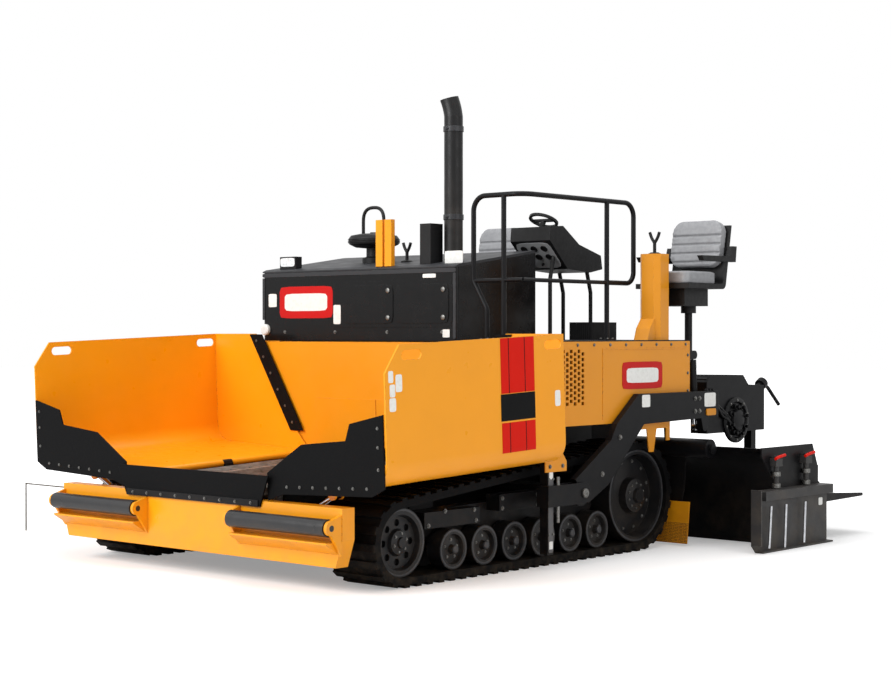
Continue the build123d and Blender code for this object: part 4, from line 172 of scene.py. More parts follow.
# Hopper wings: folded steel plate in orange-yellow paint, hinged along the frame, with three red
# bands and a blank black plate on the outer side, and plain white labels.
class Finish(Tree):
    """A material whose patterns lie on Object coordinates, in metres."""

    def __init__(self, name):
        self.material = bpy.data.materials.new(name)
        super().__init__(self.material)
        self.place = self.node("ShaderNodeTexCoord", out=3)

    def cloud(self, scale, detail=4.0, rough=0.55, stretch=None):
        """Noise from 0 to 1 with scale lumps a metre, drawn out by stretch."""
        where = self.place
        if stretch:
            where = self.node("ShaderNodeMapping", {}, {"Vector": where, "Scale": stretch})
        return self.node("ShaderNodeTexNoise", {}, {"Vector": where, "Scale": scale, "Detail": detail,
                                                    "Roughness": rough})

    def axis(self, which):
        """The distance along X, Y or Z, for 0, 1 or 2."""
        return self.node("ShaderNodeSeparateXYZ", {}, {0: self.place}, which)

    def ramp(self, wire, low, high, start=0.0, end=1.0):
        """wire from low to high, carried to start and end and held past them."""
        return self.node("ShaderNodeMapRange", {}, {0: wire, 1: low, 2: high, 3: start, 4: end})

    def blend(self, share, first, second):
        """The first colour where share is 0 and the second where it is 1."""
        return self.node("ShaderNodeMix", {"data_type": "RGBA"}, {0: share, 6: first, 7: second}, 2)

    def edges(self, radius):
        """1 on edges within radius and 0 on flats: how far a rounded normal leans from the plain one."""
        rounded = self.node("ShaderNodeBevel", {"samples": 4}, {"Radius": radius})
        plain = self.node("ShaderNodeNewGeometry", out=1)
        near = self.node("ShaderNodeVectorMath", {"operation": "DOT_PRODUCT"}, {0: rounded, 1: plain}, 1)
        return self.ramp(near, 0.995, 0.8)

    def bump(self, height, depth, radius=None):
        """A normal that leans with height; radius also rounds the edges."""
        sockets = {"Height": height, "Distance": depth, "Strength": 1.0}
        if radius:
            sockets["Normal"] = self.node("ShaderNodeBevel", {"samples": 4}, {"Radius": radius})
        return self.node("ShaderNodeBump", {}, sockets)

    def shade(self, **sockets):
        """Sets the shader's sockets; a name's underscores stand for spaces."""
        for name, value in sockets.items():
            self.put(self.nodes["Principled BSDF"].inputs[name.replace("_", " ")], value)
        return self


def rgb(red, green, blue):
    """A screen colour from 0 to 255 as linear light."""
    level = np.array([red, green, blue]) / 255.0
    linear = np.where(level > 0.04045, ((level + 0.055) / 1.055) ** 2.4, level / 12.92)
    return (*linear.tolist(), 1.0)


DUST = rgb(120, 104, 84)


def painted(name, colour, gloss=0.32, wear=(60, 58, 55), dust=0.5, shine=0.5, lacquer=0.0):
    """Sprayed plate: slight clouding, fine peel, chipped edges, and road dust that thickens downwards."""
    paint = Finish(name)
    shadow = tuple(level * 0.82 for level in colour[:3]) + (1.0,)
    tone = paint.blend(paint.ramp(paint.cloud(1.3), 0.35, 0.65, 0.0, 0.35), colour, shadow)
    chips = paint.edges(0.004) * paint.ramp(paint.cloud(28.0, 6.0), 0.53, 0.6)
    tone = paint.blend(chips, tone, rgb(*wear))
    low = paint.ramp(paint.axis(2), 0.75, 0.0, 0.0, dust) * paint.ramp(paint.cloud(6.0, 6.0, 0.65), 0.4, 0.7)
    tone = paint.blend(low, tone, DUST)
    rough = paint.ramp(paint.cloud(9.0, 5.0), 0.3, 0.7, gloss - 0.05, gloss + 0.1) + low * 0.4
    peel = paint.cloud(420.0, 2.0)
    return paint.shade(Base_Color=tone, Roughness=rough, Specular_IOR_Level=shine, Coat_Weight=lacquer,
                       Coat_Roughness=0.12, Normal=paint.bump(peel, 0.0002, 0.003))


def coat(finish, *nodes):
    """Puts a finish on CAD nodes."""
    for name in nodes:
        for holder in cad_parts[name].material_slots:
            holder.material = finish.material


YELLOW = rgb(247, 160, 12)
yellow_paint = painted("yellow_paint", YELLOW, dust=0.25, shine=0.35, lacquer=0.1)
coat(yellow_paint, "wing_left", "wing_right")

# The hinge line: its slope, and the station and height of its front end. Stations run back from
# the hopper's front edge, and Y_MID is the station of the origin.
TILT = np.radians(2.25)
HINGE_STATION, HINGE_HEIGHT = 0.02, 0.66
Y_MID = 2.6365
SIDES = (("left", 1), ("right", -1))


def hopper(x, v, w):
    """Points at X, back v along the tilted hinge line and w square up from it."""
    x, v, w = np.broadcast_arrays(x, v, w)
    return np.stack([x, HINGE_STATION - Y_MID + v * np.cos(TILT) - w * np.sin(TILT),
                     HINGE_HEIGHT + v * np.sin(TILT) + w * np.cos(TILT)], -1)


def at(x, station, z):
    """Points at a station behind the hopper's front edge."""
    x, station, z = np.broadcast_arrays(x, station, z)
    return np.stack([x, station - Y_MID, z], -1)


def together(*shells):
    """Several (points, faces) shells as one."""
    points, faces, start = [], [], 0
    for shell, quads in shells:
        shell = shell.reshape(-1, 3)
        points.append(shell)
        faces += [[int(corner) + start for corner in face] for face in quads]
        start += len(shell)
    return np.concatenate(points), faces


def read(items, word):
    """The place or the normal of every vertex or face, one to a row."""
    flat = np.zeros(len(items) * 3)
    items.foreach_get(word, flat)
    return flat.reshape(-1, 3)


def piece(name, shells, finish, body="root", outward=None, sharp=35.0, width=0.0):
    """One mesh of shells, its normals set outwards, riding on a body. outward is the way an open
    sheet faces; a closed shell needs none. width rounds the edges of a hard shape."""
    mesh = bpy.data.meshes.new(name)
    points, faces = together(*shells)
    mesh.from_pydata(points.tolist(), [], faces)
    shell = bmesh.new()
    shell.from_mesh(mesh)
    bmesh.ops.remove_doubles(shell, verts=shell.verts, dist=1e-6)
    if outward is None:
        bmesh.ops.recalc_face_normals(shell, faces=shell.faces)
    shell.to_mesh(mesh)
    shell.free()
    if outward is not None and (read(mesh.polygons, "normal") @ outward).sum() < 0:
        mesh.flip_normals()
    mesh.shade_smooth()
    mesh.set_sharp_from_angle(angle=np.radians(sharp))
    made = placed(name, mesh)
    mesh.materials.append(finish.material)
    if width:
        rounding = made.modifiers.new("rounding", "BEVEL")
        rounding.width, rounding.segments, rounding.limit_method = width, 2, "ANGLE"
        rounding.angle_limit, rounding.harden_normals = np.radians(30.0), True
    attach(made, body)
    return made


def grid_faces(rows, columns, turn=False):
    """Quads between a grid's points, row by row; turn closes each row on itself."""
    across = columns if turn else columns - 1
    row, column = np.meshgrid(np.arange(rows - 1), np.arange(across), indexing="ij")
    right = (column + 1) % columns
    quads = np.stack([row * columns + column, row * columns + right,
                      (row + 1) * columns + right, (row + 1) * columns + column], -1)
    return quads.reshape(-1, 4)


# The skin's X and its top's w, then the bend's radius and the X and w of its centre
WING_X, WING_TOP = 1.83, 0.937
BEND, BEND_X, BEND_W = 0.15, 1.68, 0.18894


def wing_side(side, v, along, lift=0.0012):
    """The wing's outer skin: along runs down the flat from its top edge, then round the bend, whose
    turn is the run past the flat over the radius."""
    flat = WING_TOP - BEND_W
    v, along = np.meshgrid(v, along, indexing="ij")
    turn = np.clip((along - flat) / BEND, 0.0, None)
    x = np.where(turn > 0, BEND_X + (BEND + lift) * np.cos(turn), WING_X + lift)
    w = np.where(turn > 0, BEND_W - (BEND + lift) * np.sin(turn), WING_TOP - along)
    return hopper(side * x, v, w)


RED = rgb(214, 24, 6)
red_band = painted("red_band", RED, 0.35, dust=0.05, shine=0.1)
black_band = painted("black_band", rgb(8, 8, 9), 0.4, dust=0.03, shine=0.08)
# Each band and each black line between them: first and last v
BANDS = ((1.12, 1.202), (1.21, 1.372), (1.38, 1.478))
LINES = ((1.202, 1.21), (1.372, 1.38))
BLOCK = (1.115, 1.48)
BLOCK_TOP, BLOCK_FOOT = 0.375, 0.56
# The two runs of the bands: their start and end, measured down the skin
RUNS = ((0.004, BLOCK_TOP), (BLOCK_FOOT + 0.012, 0.775))
for name, side in SIDES:
    sheets = [(wing_side(side, np.linspace(*band, 3), np.linspace(*run, 14)), grid_faces(3, 14))
              for band in BANDS for run in RUNS]
    piece(f"red_bands_{name}", sheets, red_band, f"wing_{name}", (side, 0, 0))
    rims = [(wing_side(side, np.linspace(*line, 2), np.linspace(*run, 12), 0.001), grid_faces(2, 12))
            for line in LINES for run in RUNS]
    block = wing_side(side, np.linspace(*BLOCK, 4), np.linspace(BLOCK_TOP + 0.004, BLOCK_FOOT, 4))
    piece(f"black_block_{name}", [(block, grid_faces(4, 4)), *rims], black_band, f"wing_{name}",
          (side, 0, 0))

label_film = Finish("label_film")
soiled = label_film.ramp(label_film.cloud(40.0, 5.0), 0.45, 0.75, 0.0, 0.35)
label_film.shade(Base_Color=label_film.blend(soiled, rgb(236, 236, 232), rgb(196, 194, 186)),
                 Roughness=label_film.ramp(label_film.cloud(60.0), 0.3, 0.7, 0.3, 0.5))


def prism(ring, push):
    """A closed outline and its copy pushed along a vector, joined by quads."""
    ring = np.asarray(ring, float).reshape(-1, 3)
    count = len(ring)
    sides = grid_faces(2, count, True).tolist()
    ends = [list(range(count)), list(range(count, 2 * count))]
    return np.concatenate([ring, ring + push]), [*ends, *sides]


def label(corner, across, up, width, height, lift, rounding=0.15):
    """A thin plate with rounded corners, pushed along lift. Its outline is a superellipse: at each
    turn its reach from the middle is (|cos| to the power 1/rounding plus |sin| to the same power),
    to the power -rounding, stretched to the width and the height."""
    turn = np.linspace(0, 2 * np.pi, 32, endpoint=False)
    reach = (np.abs(np.cos(turn)) ** (1 / rounding) + np.abs(np.sin(turn)) ** (1 / rounding)) ** -rounding
    over, rise = 0.5 + 0.5 * reach * np.cos(turn), 0.5 + 0.5 * reach * np.sin(turn)
    return prism(corner + np.outer(over * width, across) + np.outer(rise * height, up), lift)


wing_back = hopper(0, 1, 0) - hopper(0, 0, 0)
wing_up = hopper(0, 0, 1) - hopper(0, 0, 0)
# Each label on a wing's side: v and w of its lower front corner, width and height
WING_LABELS = ((0.03, 0.7, 0.045, 0.075), (0.04, 0.61, 0.05, 0.08), (0.095, 0.64, 0.06, 0.11),
               (0.035, 0.52, 0.06, 0.085), (1.7, 0.44, 0.06, 0.11))
for name, side in SIDES:
    cards = [label(hopper(side * WING_X, v, w), wing_back, wing_up, width, height, (side * 0.001, 0, 0))
             for v, w, width, height in WING_LABELS]
    piece(f"wing_labels_{name}", cards, label_film, f"wing_{name}")


# Wing rubbers: black conveyor rubber, the flaps that close the hopper's front corners and the
# strips that seal the wings to the bulkhead, all held by rows of plated bolts.
def rubbery(name, shade=(10, 10, 11), dust=0.12):
    """Moulded rubber: near black, a dull bloom, fine grain and pale dust in its low parts."""
    skin = Finish(name)
    bloom = skin.ramp(skin.cloud(5.0, 6.0, 0.6), 0.35, 0.75, 0.0, 0.5)
    tone = skin.blend(bloom, rgb(*shade), rgb(*[level + 7 for level in shade]))
    low = skin.ramp(skin.axis(2), 0.5, 0.0, 0.0, dust) * skin.ramp(skin.cloud(14.0, 6.0, 0.7), 0.42, 0.66)
    tone = skin.blend(low, tone, DUST)
    grain = skin.cloud(300.0, 3.0) + skin.cloud(30.0, 4.0) * 2.0
    return skin.shade(Base_Color=tone, Roughness=bloom * 0.2 + 0.55, Specular_IOR_Level=0.07,
                      Normal=skin.bump(grain, 0.0006, 0.004))


black_rubber = rubbery("black_rubber")
coat(black_rubber, "wing_rubber_left", "wing_rubber_right")
plated = Finish("plated_steel")
dulled = plated.ramp(plated.cloud(90.0), 0.4, 0.7)
plated.shade(Base_Color=plated.blend(dulled, rgb(132, 132, 130), rgb(84, 80, 74)), Metallic=1.0,
             Roughness=plated.ramp(plated.cloud(70.0), 0.3, 0.7, 0.35, 0.55))

# A bolt's washer and head: radius and height, both in half widths of its hexagon
BOLT_PROFILE = np.array([(0.0, 0.0), (1.55, 0.0), (1.55, 0.22), (1.0, 0.24), (1.0, 0.8), (0.86, 0.95),
                         (0.0, 0.95)])


def turned(profile, centre, axis, steps=48):
    """A profile of radius and distance along the axis, turned about the line through centre: each
    point is centre + radius (cos side + sin normal) + distance axis."""
    profile, axis = np.asarray(profile, float), np.asarray(axis, float) / np.linalg.norm(axis)
    side = np.cross(axis, (0.3, 0.9, 0.2))
    side /= np.linalg.norm(side)
    turn = np.linspace(0, 2 * np.pi, steps, endpoint=False)
    ring = np.outer(np.cos(turn), side) + np.outer(np.sin(turn), np.cross(axis, side))
    points = centre + profile[:, :1, None] * ring + profile[:, 1:, None] * axis
    return points, grid_faces(len(profile), steps, True)


def bolts(places, axis, size):
    """Hexagon heads on washers at places, standing along axis; size is half the width over corners."""
    return together(*[turned(size * BOLT_PROFILE, place, axis, 6) for place in np.reshape(places, (-1, 3))])


# The front faces of the flaps and of the bulkhead's seals, as v
FLAP_FACE, SEAL_FACE = -0.0125, 1.7855
for name, side in SIDES:
    foot = np.linspace(hopper(side * 0.93, FLAP_FACE, 0.005), hopper(side * 1.66, FLAP_FACE, 0.035), 7)
    edge = hopper(side * 1.765, FLAP_FACE, np.array([0.16, 0.3, 0.42]))
    seal = np.linspace(hopper(side * 0.905, SEAL_FACE, 0.23), hopper(side * 1.3, SEAL_FACE, 0.88), 6)
    heads = [bolts(line, -wing_back, 0.0075) for line in (foot, edge, seal)]
    piece(f"flap_bolts_{name}", heads, plated, f"wing_{name}")


# Front apron: a sheet of conveyor rubber that hangs between the wings, with a steel strip bolted
# along its foot.
coat(black_rubber, "apron_flap")
dark_paint = painted("dark_paint", rgb(15, 15, 17), 0.36, (70, 69, 66), 0.12, 0.16)
STRIP = ((-0.69, -0.136), (0.69, -0.136), (0.69, -0.091), (-0.69, -0.091))
STRIP_BACK, STRIP_THICK = -0.049, 0.0062
strip = prism([hopper(x, STRIP_BACK, w) for x, w in STRIP], -STRIP_THICK * wing_back)
piece("apron_strip", [strip], dark_paint, width=0.0015)
strip_row = np.linspace(hopper(-0.62, -0.055, -0.113), hopper(0.62, -0.055, -0.113), 9)
piece("apron_bolts", [bolts(strip_row, (0, -1, 0), 0.008)], plated)


# Push beam and rollers: a welded box in yellow with lifting ears, black steel rollers that the
# truck's tyres push against, and the thin steering guide with its hanging pointer.
coat(yellow_paint, "push_beam")
roller_paint = painted("roller_paint", rgb(24, 25, 28), 0.3, (100, 98, 94), 0.1)
coat(roller_paint, "push_roller_left", "push_roller_right")
steel = Finish("bare_steel")
steel_tone = steel.ramp(steel.cloud(12.0, 6.0, 0.65, (1.0, 1.0, 3.0)), 0.35, 0.7)
steel.shade(Base_Color=steel.blend(steel_tone, rgb(128, 126, 122), rgb(84, 74, 64)), Metallic=0.75,
            Roughness=steel_tone * 0.25 + 0.38, Normal=steel.bump(steel.cloud(160.0), 0.0004, 0.003))
coat(steel, "steering_guide")


# Feeder and bulkhead: worn steel beds with chains and slats that drag the mix back through the
# tunnel, under a wall in the hopper's own paint, dulled where the mix rubs it. The wall is painted a
# deeper orange than the wings: painted shade for the inside of the hopper.
coat(steel, "feeder_bed", "feeder_slats")
shaded_inner_yellow = painted("shaded_inner_yellow", rgb(240, 150, 10), 0.42, dust=0.1, shine=0.35, lacquer=0.1)
coat(shaded_inner_yellow, "bulkhead")
# Flow gates over both tunnel mouths, as x and w, just clear of the folding wings
GATE = ((0.003, 0.06), (0.655, 0.06), (0.655, 0.432), (0.003, 0.432))
GATE_BACK, GATE_THICK = 1.8168, 0.005
gates = [prism([hopper(side * x, GATE_BACK, w) for x, w in GATE], -GATE_THICK * wing_back)
         for side in (1, -1)]
# The gates share the wall's deeper orange, painted shade inside the hopper.
piece("flow_gates", gates, shaded_inner_yellow, width=0.001)


# Chassis, track frames and the brackets under the deck: welded plate in satin near-black, with
# bolts on the cover plates of the track frames.
# A darker ochre copy of the yellow paint: painted shade on faces that look out to the machine's sides.
shaded_side_yellow = painted("shaded_side_yellow", rgb(226, 146, 24), 0.34, shine=0.35, lacquer=0.1)
coat(dark_paint, "main_frame", "track_frame_left", "track_frame_right", "auger_frame", "lift_brackets",
     "tow_guides")
cast = painted("cast_iron", rgb(30, 30, 30), 0.6, (60, 56, 50), 0.3, 0.15)
coat(cast, "engine_block")
# Each cover plate: its face's X, then the stations and heights of its bolts
COVERS = ((1.436, ((0.998, 0.467), (1.3, 0.455), (0.83, 0.38), (1.32, 0.38))),
          (1.448, ((1.59, 0.513), (1.59, 0.443), (1.98, 0.513), (1.98, 0.443))))
for name, side in SIDES:
    heads = [bolts(at(side * face, *np.transpose(spots)), (side, 0, 0), 0.011) for face, spots in COVERS]
    piece(f"cover_bolts_{name}", heads, plated)


# Tracks: rubber belts round cast wheels with bolted hubs. The wheels' rims are paler, partly rubbed
# by the belts and partly a painted highlight along their edges, and the bogie wheels carry hub caps.
track_rubber = rubbery("track_rubber", (10, 10, 11), 0.16)
coat(track_rubber, "track_belt_left", "track_belt_right")
wheel_paint = painted("wheel_paint", rgb(16, 16, 18), 0.38, (80, 79, 76), 0.14, 0.3)
coat(wheel_paint, "track_wheels_left", "track_wheels_right")
# Paler grey for the rims and hub caps: rubbed paint, and on the rims also a painted highlight.
rim_wear_and_highlight = painted("rim_wear_and_highlight", rgb(58, 59, 62), 0.45, (110, 108, 104), 0.1, 0.4)
WHEEL_FACE = 1.466
# Each wheel: station, height, rim radius, bolt circle, bolts, depth of the bolts' face
IDLER = (0.528, 0.296, 0.2285, 0.06, 6, 0.006)
DRIVE = (3.181, 0.424, 0.3565, 0.095, 10, 0.002)
BOGIES = [(1.05 + 0.325 * number, 0.206, 0.1385, 0.063, 5, 0.026) for number in range(6)]
# The drive wheel's outer circle of bolts: radius, bolts, depth
DRIVE_CIRCLE = (0.262, 12, 0.087)
# A rim's raised edge: radius counted from the rim's own, and height over the face
RIM = np.array([(-0.02, -0.003), (-0.019, 0.0012), (-0.01, 0.0022), (-0.006, 0.0012), (-0.005, -0.003),
                (-0.02, -0.003)])
HUB_CAP = ((0.027, 0.002), (0.027, 0.014), (0.02, 0.02), (0.0, 0.021))


def ring_of(centre, radius, count, start=0.3):
    """count points evenly round a circle in the plane of station and height."""
    turn = start + np.arange(count) * 2 * np.pi / count
    return centre[0] + radius * np.cos(turn), centre[1] + radius * np.sin(turn)


for name, side in SIDES:
    rims, heads = [], []
    for station, z, radius, circle, count, depth in (IDLER, DRIVE, *BOGIES):
        rims.append(turned(RIM + (radius, 0.0), at(side * WHEEL_FACE, station, z), (side, 0, 0), 72))
        spots = at(side * (WHEEL_FACE - depth), *ring_of((station, z), circle, count))
        heads.append(bolts(spots, (side, 0, 0), 0.0075))
    circle, count, depth = DRIVE_CIRCLE
    spots = at(side * (WHEEL_FACE - depth), *ring_of(DRIVE[:2], circle, count))
    heads.append(bolts(spots, (side, 0, 0), 0.01))
    for station, z, *others in BOGIES:
        rims.append(turned(HUB_CAP, at(side * (WHEEL_FACE + 0.006), station, z), (side, 0, 0), 32))
    piece(f"wheel_rims_{name}", rims, rim_wear_and_highlight)
    piece(f"wheel_bolts_{name}", heads, plated)


# Tow guides: two upright posts each side with a steel height scale and its white marks, a bright
# pin for the tow arm, and a yellow bolted bracket above, painted a darker ochre as shade on its side.
def rod(line, radius, steps=16):
    """A round section carried along a line, with flat ends: each ring lies across the line's slope,
    each point at line + radius (cos side + sin up)."""
    slope = np.gradient(line, axis=0)
    slope /= np.linalg.norm(slope, axis=1)[:, None]
    side = np.cross(slope, (0.31, 0.22, 0.925))
    side /= np.linalg.norm(side, axis=1)[:, None]
    up = np.cross(side, slope)
    turn = np.linspace(0, 2 * np.pi, steps, endpoint=False)[None, :, None]
    ring = line[:, None] + radius * (np.cos(turn) * side[:, None] + np.sin(turn) * up[:, None])
    first, last = (np.broadcast_to(end, ring[:1].shape) for end in (line[0], line[-1]))
    ring = np.concatenate([first, ring, last])
    return ring, grid_faces(len(ring), steps, True)


def side_plate(side, face, outline, thick):
    """A plate cut to an outline of stations and heights, from face outwards by thick."""
    return prism(at(side * face, *np.transpose(outline)), (side * thick, 0, 0))


def side_card(side, face, stations, heights, thick, rounding=0.08):
    """A plate on one of the machine's sides, from face outwards by thick, between two stations and
    two heights."""
    return label(at(side * face, stations[0], heights[0]), (0, 1, 0), (0, 0, 1), stations[1] - stations[0],
                 heights[1] - heights[0], (side * thick, 0, 0), rounding)


GUIDE_FACE = 1.6592
GUIDE_BOLTS = ((1.85, 0.64), (1.895, 0.64), (1.85, 0.25), (1.895, 0.25))
BRACKET = ((1.8, 0.69), (2.045, 0.69), (2.045, 0.76), (1.985, 0.839), (1.86, 0.839), (1.8, 0.78))
BRACKET_FACE, MARKS_Z = 1.657, (0.145, 0.64)
TOW_PIN = (1.6862, 2.23, 0.52)
PIN_PROFILE = ((0.034, 0.0), (0.034, 0.014), (0.028, 0.019), (0.0, 0.019))
guide_steel = painted("guide_steel", rgb(84, 84, 86), 0.4, (130, 128, 124), 0.2)
for name, side in SIDES:
    scale = side_card(side, GUIDE_FACE - 0.004, (1.845, 1.9), (0.12, 0.72), 0.004, 0.06)
    piece(f"guide_scale_{name}", [scale], guide_steel, width=0.001)
    marks = [side_card(side, GUIDE_FACE, (1.852, 1.893), (z, z + 0.055), 0.0012, 0.06) for z in MARKS_Z]
    piece(f"guide_marks_{name}", marks, label_film)
    ears = side_plate(side, BRACKET_FACE, BRACKET, 0.01)
    piece(f"guide_bracket_{name}", [ears], shaded_side_yellow, width=0.003)
    heads = [bolts(at(side * 1.6672, (1.85, 1.995), (0.73, 0.73)), (side, 0, 0), 0.011),
             bolts(at(side * GUIDE_FACE, *np.transpose(GUIDE_BOLTS)), (side, 0, 0), 0.008)]
    piece(f"guide_bolts_{name}", heads, plated)
    # The bright pin at the arm's tow point, and a rod beside the post
    pin = turned(PIN_PROFILE, at(side * TOW_PIN[0], *TOW_PIN[1:]), (side, 0, 0), 32)
    upright = rod(at(side * 1.672, np.full(5, 1.935), np.linspace(0.33, 0.655, 5)), 0.014)
    piece(f"tow_pin_{name}", [pin, upright], plated)


# Hood: folded sheet in glossy near-black with a cover on top and two service doors ahead. The cover
# is painted a paler matte grey, a painted reflection of the sky on the top. Flanges painted a paler
# grey frame its front as a painted highlight along its edges, and the front carries blank plates. A
# lamp, a card and sighting posts stand on it.
hood_paint = painted("hood_paint", rgb(14, 14, 15), 0.22, (60, 60, 60), 0.0, 0.22)
coat(hood_paint, "hood")
# Painted reflection: the cover's paler grey stands in for the sky seen on it at a grazing angle.
cover_reflection_grey = painted("cover_reflection_grey", rgb(44, 45, 48), 0.5, (60, 60, 60), 0.0, 0.3)
coat(cover_reflection_grey, "hood_top")
# Paler grey flanges round the hood's front: a painted highlight along its edges. The stack's clamps share
# this grey.
flange_highlight_and_clamp_grey = painted("flange_highlight_and_clamp_grey", rgb(48, 49, 52), 0.35, (90, 90, 88), 0.0, 0.3)
HOOD_FACE = 1.95


def front_sheet(low_x, high_x, low_z, high_z, face, thick, rounding=0.08):
    """A sheet with rounded corners on the hood's front, from face forwards by thick."""
    return label(at(low_x, face, low_z), (1, 0, 0), (0, 0, 1), high_x - low_x, high_z - low_z,
                 (0, -thick, 0), rounding)


doors = [front_sheet(-0.6, 0.665, 1.715, 2.075, HOOD_FACE, 0.003, 0.04),
         front_sheet(-0.48, 0.06, 1.745, 2.045, HOOD_FACE - 0.003, 0.006),
         front_sheet(0.095, 0.63, 1.745, 2.045, HOOD_FACE - 0.003, 0.006)]
piece("hood_doors", doors, hood_paint, width=0.0015)
# The flanges' paler grey is a painted highlight along the front's edges.
flanges = [front_sheet(-1.418, 0.698, 2.128, 2.16, HOOD_FACE, 0.004, 0.02),
           front_sheet(0.672, 0.698, 1.63, 2.122, HOOD_FACE, 0.004, 0.02),
           front_sheet(-1.418, -1.392, 1.78, 2.122, HOOD_FACE, 0.004, 0.02)]
piece("hood_flanges", flanges, flange_highlight_and_clamp_grey)
HOOD_BOLTS_X, HOOD_BOLTS_Z = (-1.152, -0.576, -0.008, 0.56), 1.68
LATCH = ((0.02, 0.0), (0.02, 0.006), (0.014, 0.01), (0.0, 0.01))
latches = [turned(LATCH, at(x, HOOD_FACE - 0.009, z), (0, -1, 0), 24)
           for x in (0.01, 0.58) for z in (1.79, 2.0)]
heads = bolts(at(HOOD_BOLTS_X, HOOD_FACE, HOOD_BOLTS_Z), (0, -1, 0), 0.01)
piece("hood_bolts", [heads, *latches], plated)
sign_red = painted("sign_red", rgb(196, 16, 14), 0.35, dust=0.0, shine=0.2)
piece("hood_sign", [front_sheet(-1.211, -0.598, 1.791, 2.048, HOOD_FACE, 0.004)], sign_red)
sign_panel = front_sheet(-1.15, -0.66, 1.85, 1.99, HOOD_FACE - 0.004, 0.0012, 0.12)
piece("hood_sign_panel", [sign_panel], label_film)
# Each card on the hood's front: first and last X, lowest and highest Z
HOOD_CARDS = ((-1.343, -1.247, 1.885, 1.992), (-0.59, -0.509, 1.743, 1.895), (0.368, 0.5, 2.09, 2.12),
              (0.57, 0.64, 1.64, 1.7))
cards = [front_sheet(*card, HOOD_FACE - 0.003, 0.0015) for card in HOOD_CARDS]
piece("hood_labels", cards, label_film)
HOOD_CAP = ((0.045, 0.0), (0.045, 0.02), (0.036, 0.028), (0.0, 0.028))
piece("hood_cap", [turned(HOOD_CAP, at(-1.375, HOOD_FACE, 1.7), (0, -1, 0))], label_film)


def moulded(name, shade):
    """Moulded plastic: one dark tone with a fine even grain."""
    skin = Finish(name)
    mottle = skin.ramp(skin.cloud(4.0), 0.35, 0.7)
    return skin.shade(Base_Color=skin.blend(mottle, rgb(*shade), rgb(*[level + 8 for level in shade])),
                      Roughness=skin.ramp(skin.cloud(30.0), 0.3, 0.7, 0.42, 0.58), Specular_IOR_Level=0.25,
                      Normal=skin.bump(skin.cloud(700.0, 2.0), 0.0003, 0.004))


black_plastic = moulded("black_plastic", (14, 14, 15))
coat(black_plastic, "hood_fittings")
lens = Finish("lamp_lens")
haze = lens.ramp(lens.cloud(60.0), 0.4, 0.6)
lens.shade(Base_Color=lens.blend(haze, rgb(238, 240, 240), rgb(205, 210, 212)), Roughness=0.12,
           Normal=lens.bump(lens.cloud(220.0), 0.0008))
LAMP_FACE, CARD_FACE = 1.9995, 2.06
piece("lamp_lens", [front_sheet(-1.255, -1.09, 2.215, 2.285, LAMP_FACE, 0.004, 0.15)], lens)
coat(yellow_paint, "sighting_posts")
piece("hood_standing_card", [front_sheet(0.493, 0.673, 2.196, 2.293, CARD_FACE, 0.004)], label_film)


# Exhaust stack: a tall steel tube with a slanted outlet, browned by heat towards its foot and held
# by two bolted clamps.
stack_steel = Finish("stack_steel")
heat = stack_steel.ramp(stack_steel.axis(2), 2.95, 2.45)
heat = heat * stack_steel.ramp(stack_steel.cloud(4.0, 6.0), 0.35, 0.65)
stack_steel.shade(Base_Color=stack_steel.blend(heat, rgb(18, 18, 19), rgb(50, 46, 43)),
                  Roughness=stack_steel.ramp(stack_steel.cloud(12.0, 5.0), 0.3, 0.7, 0.34, 0.55),
                  Specular_IOR_Level=0.25, Normal=stack_steel.bump(stack_steel.cloud(240.0), 0.0003, 0.003))
coat(stack_steel, "exhaust_stack")
CLAMP_PROFILE = ((0.0715, -0.022), (0.079, -0.02), (0.079, 0.02), (0.0715, 0.022), (0.0715, -0.022))
STACK_X, STACK_STATION, CLAMPS_Z = 0.42, 2.24, (2.56, 3.235)
clamps = [turned(CLAMP_PROFILE, at(STACK_X, STACK_STATION, z), (0, 0, 1), 64) for z in CLAMPS_Z]
heads = bolts(at(STACK_X, STACK_STATION - 0.082, CLAMPS_Z), (0, -1, 0), 0.012)
piece("stack_clamps", [*clamps, heads], flange_highlight_and_clamp_grey)


# Air pre-cleaner: a spun bowl of black plastic with three fins round it, turned from its profile,
# under a guard hoop bent from tube.
def spline(points, each=12):
    """A smooth line through points: between two neighbours each coordinate is the cubic that has, at
    both ends, half the step from one point back to one point on as its slope."""
    points = np.asarray(points, float)
    padded = np.concatenate([2 * points[:1] - points[1:2], points, 2 * points[-1:] - points[-2:-1]])
    t = np.linspace(0, 1, each, endpoint=False)[:, None, None]
    back, near, far, on = padded[:-3], padded[1:-2], padded[2:-1], padded[3:]
    cubic = 2 * back - 5 * near + 4 * far - on + t * (3 * (near - far) + on - back)
    line = near + 0.5 * t * (far - back + t * cubic)
    return np.concatenate([line.transpose(1, 0, 2).reshape(-1, 3), points[-1:]])


def bent(points, radius):
    """Straight runs joined by bends: every corner is cut back by radius, or by half its run, to two
    points, and (1 - t) squared of the one way back plus t squared of the other rounds it."""
    points = np.asarray(points, float)
    back, on = points[:-2] - points[1:-1], points[2:] - points[1:-1]
    back *= np.minimum(radius / np.linalg.norm(back, axis=1), 0.5)[:, None]
    on *= np.minimum(radius / np.linalg.norm(on, axis=1), 0.5)[:, None]
    t = np.linspace(0, 1, 9)[:, None, None]
    arcs = points[1:-1] + back * (1 - t) ** 2 + on * t ** 2
    return np.concatenate([points[:1], arcs.transpose(1, 0, 2).reshape(-1, 3), points[-1:]])


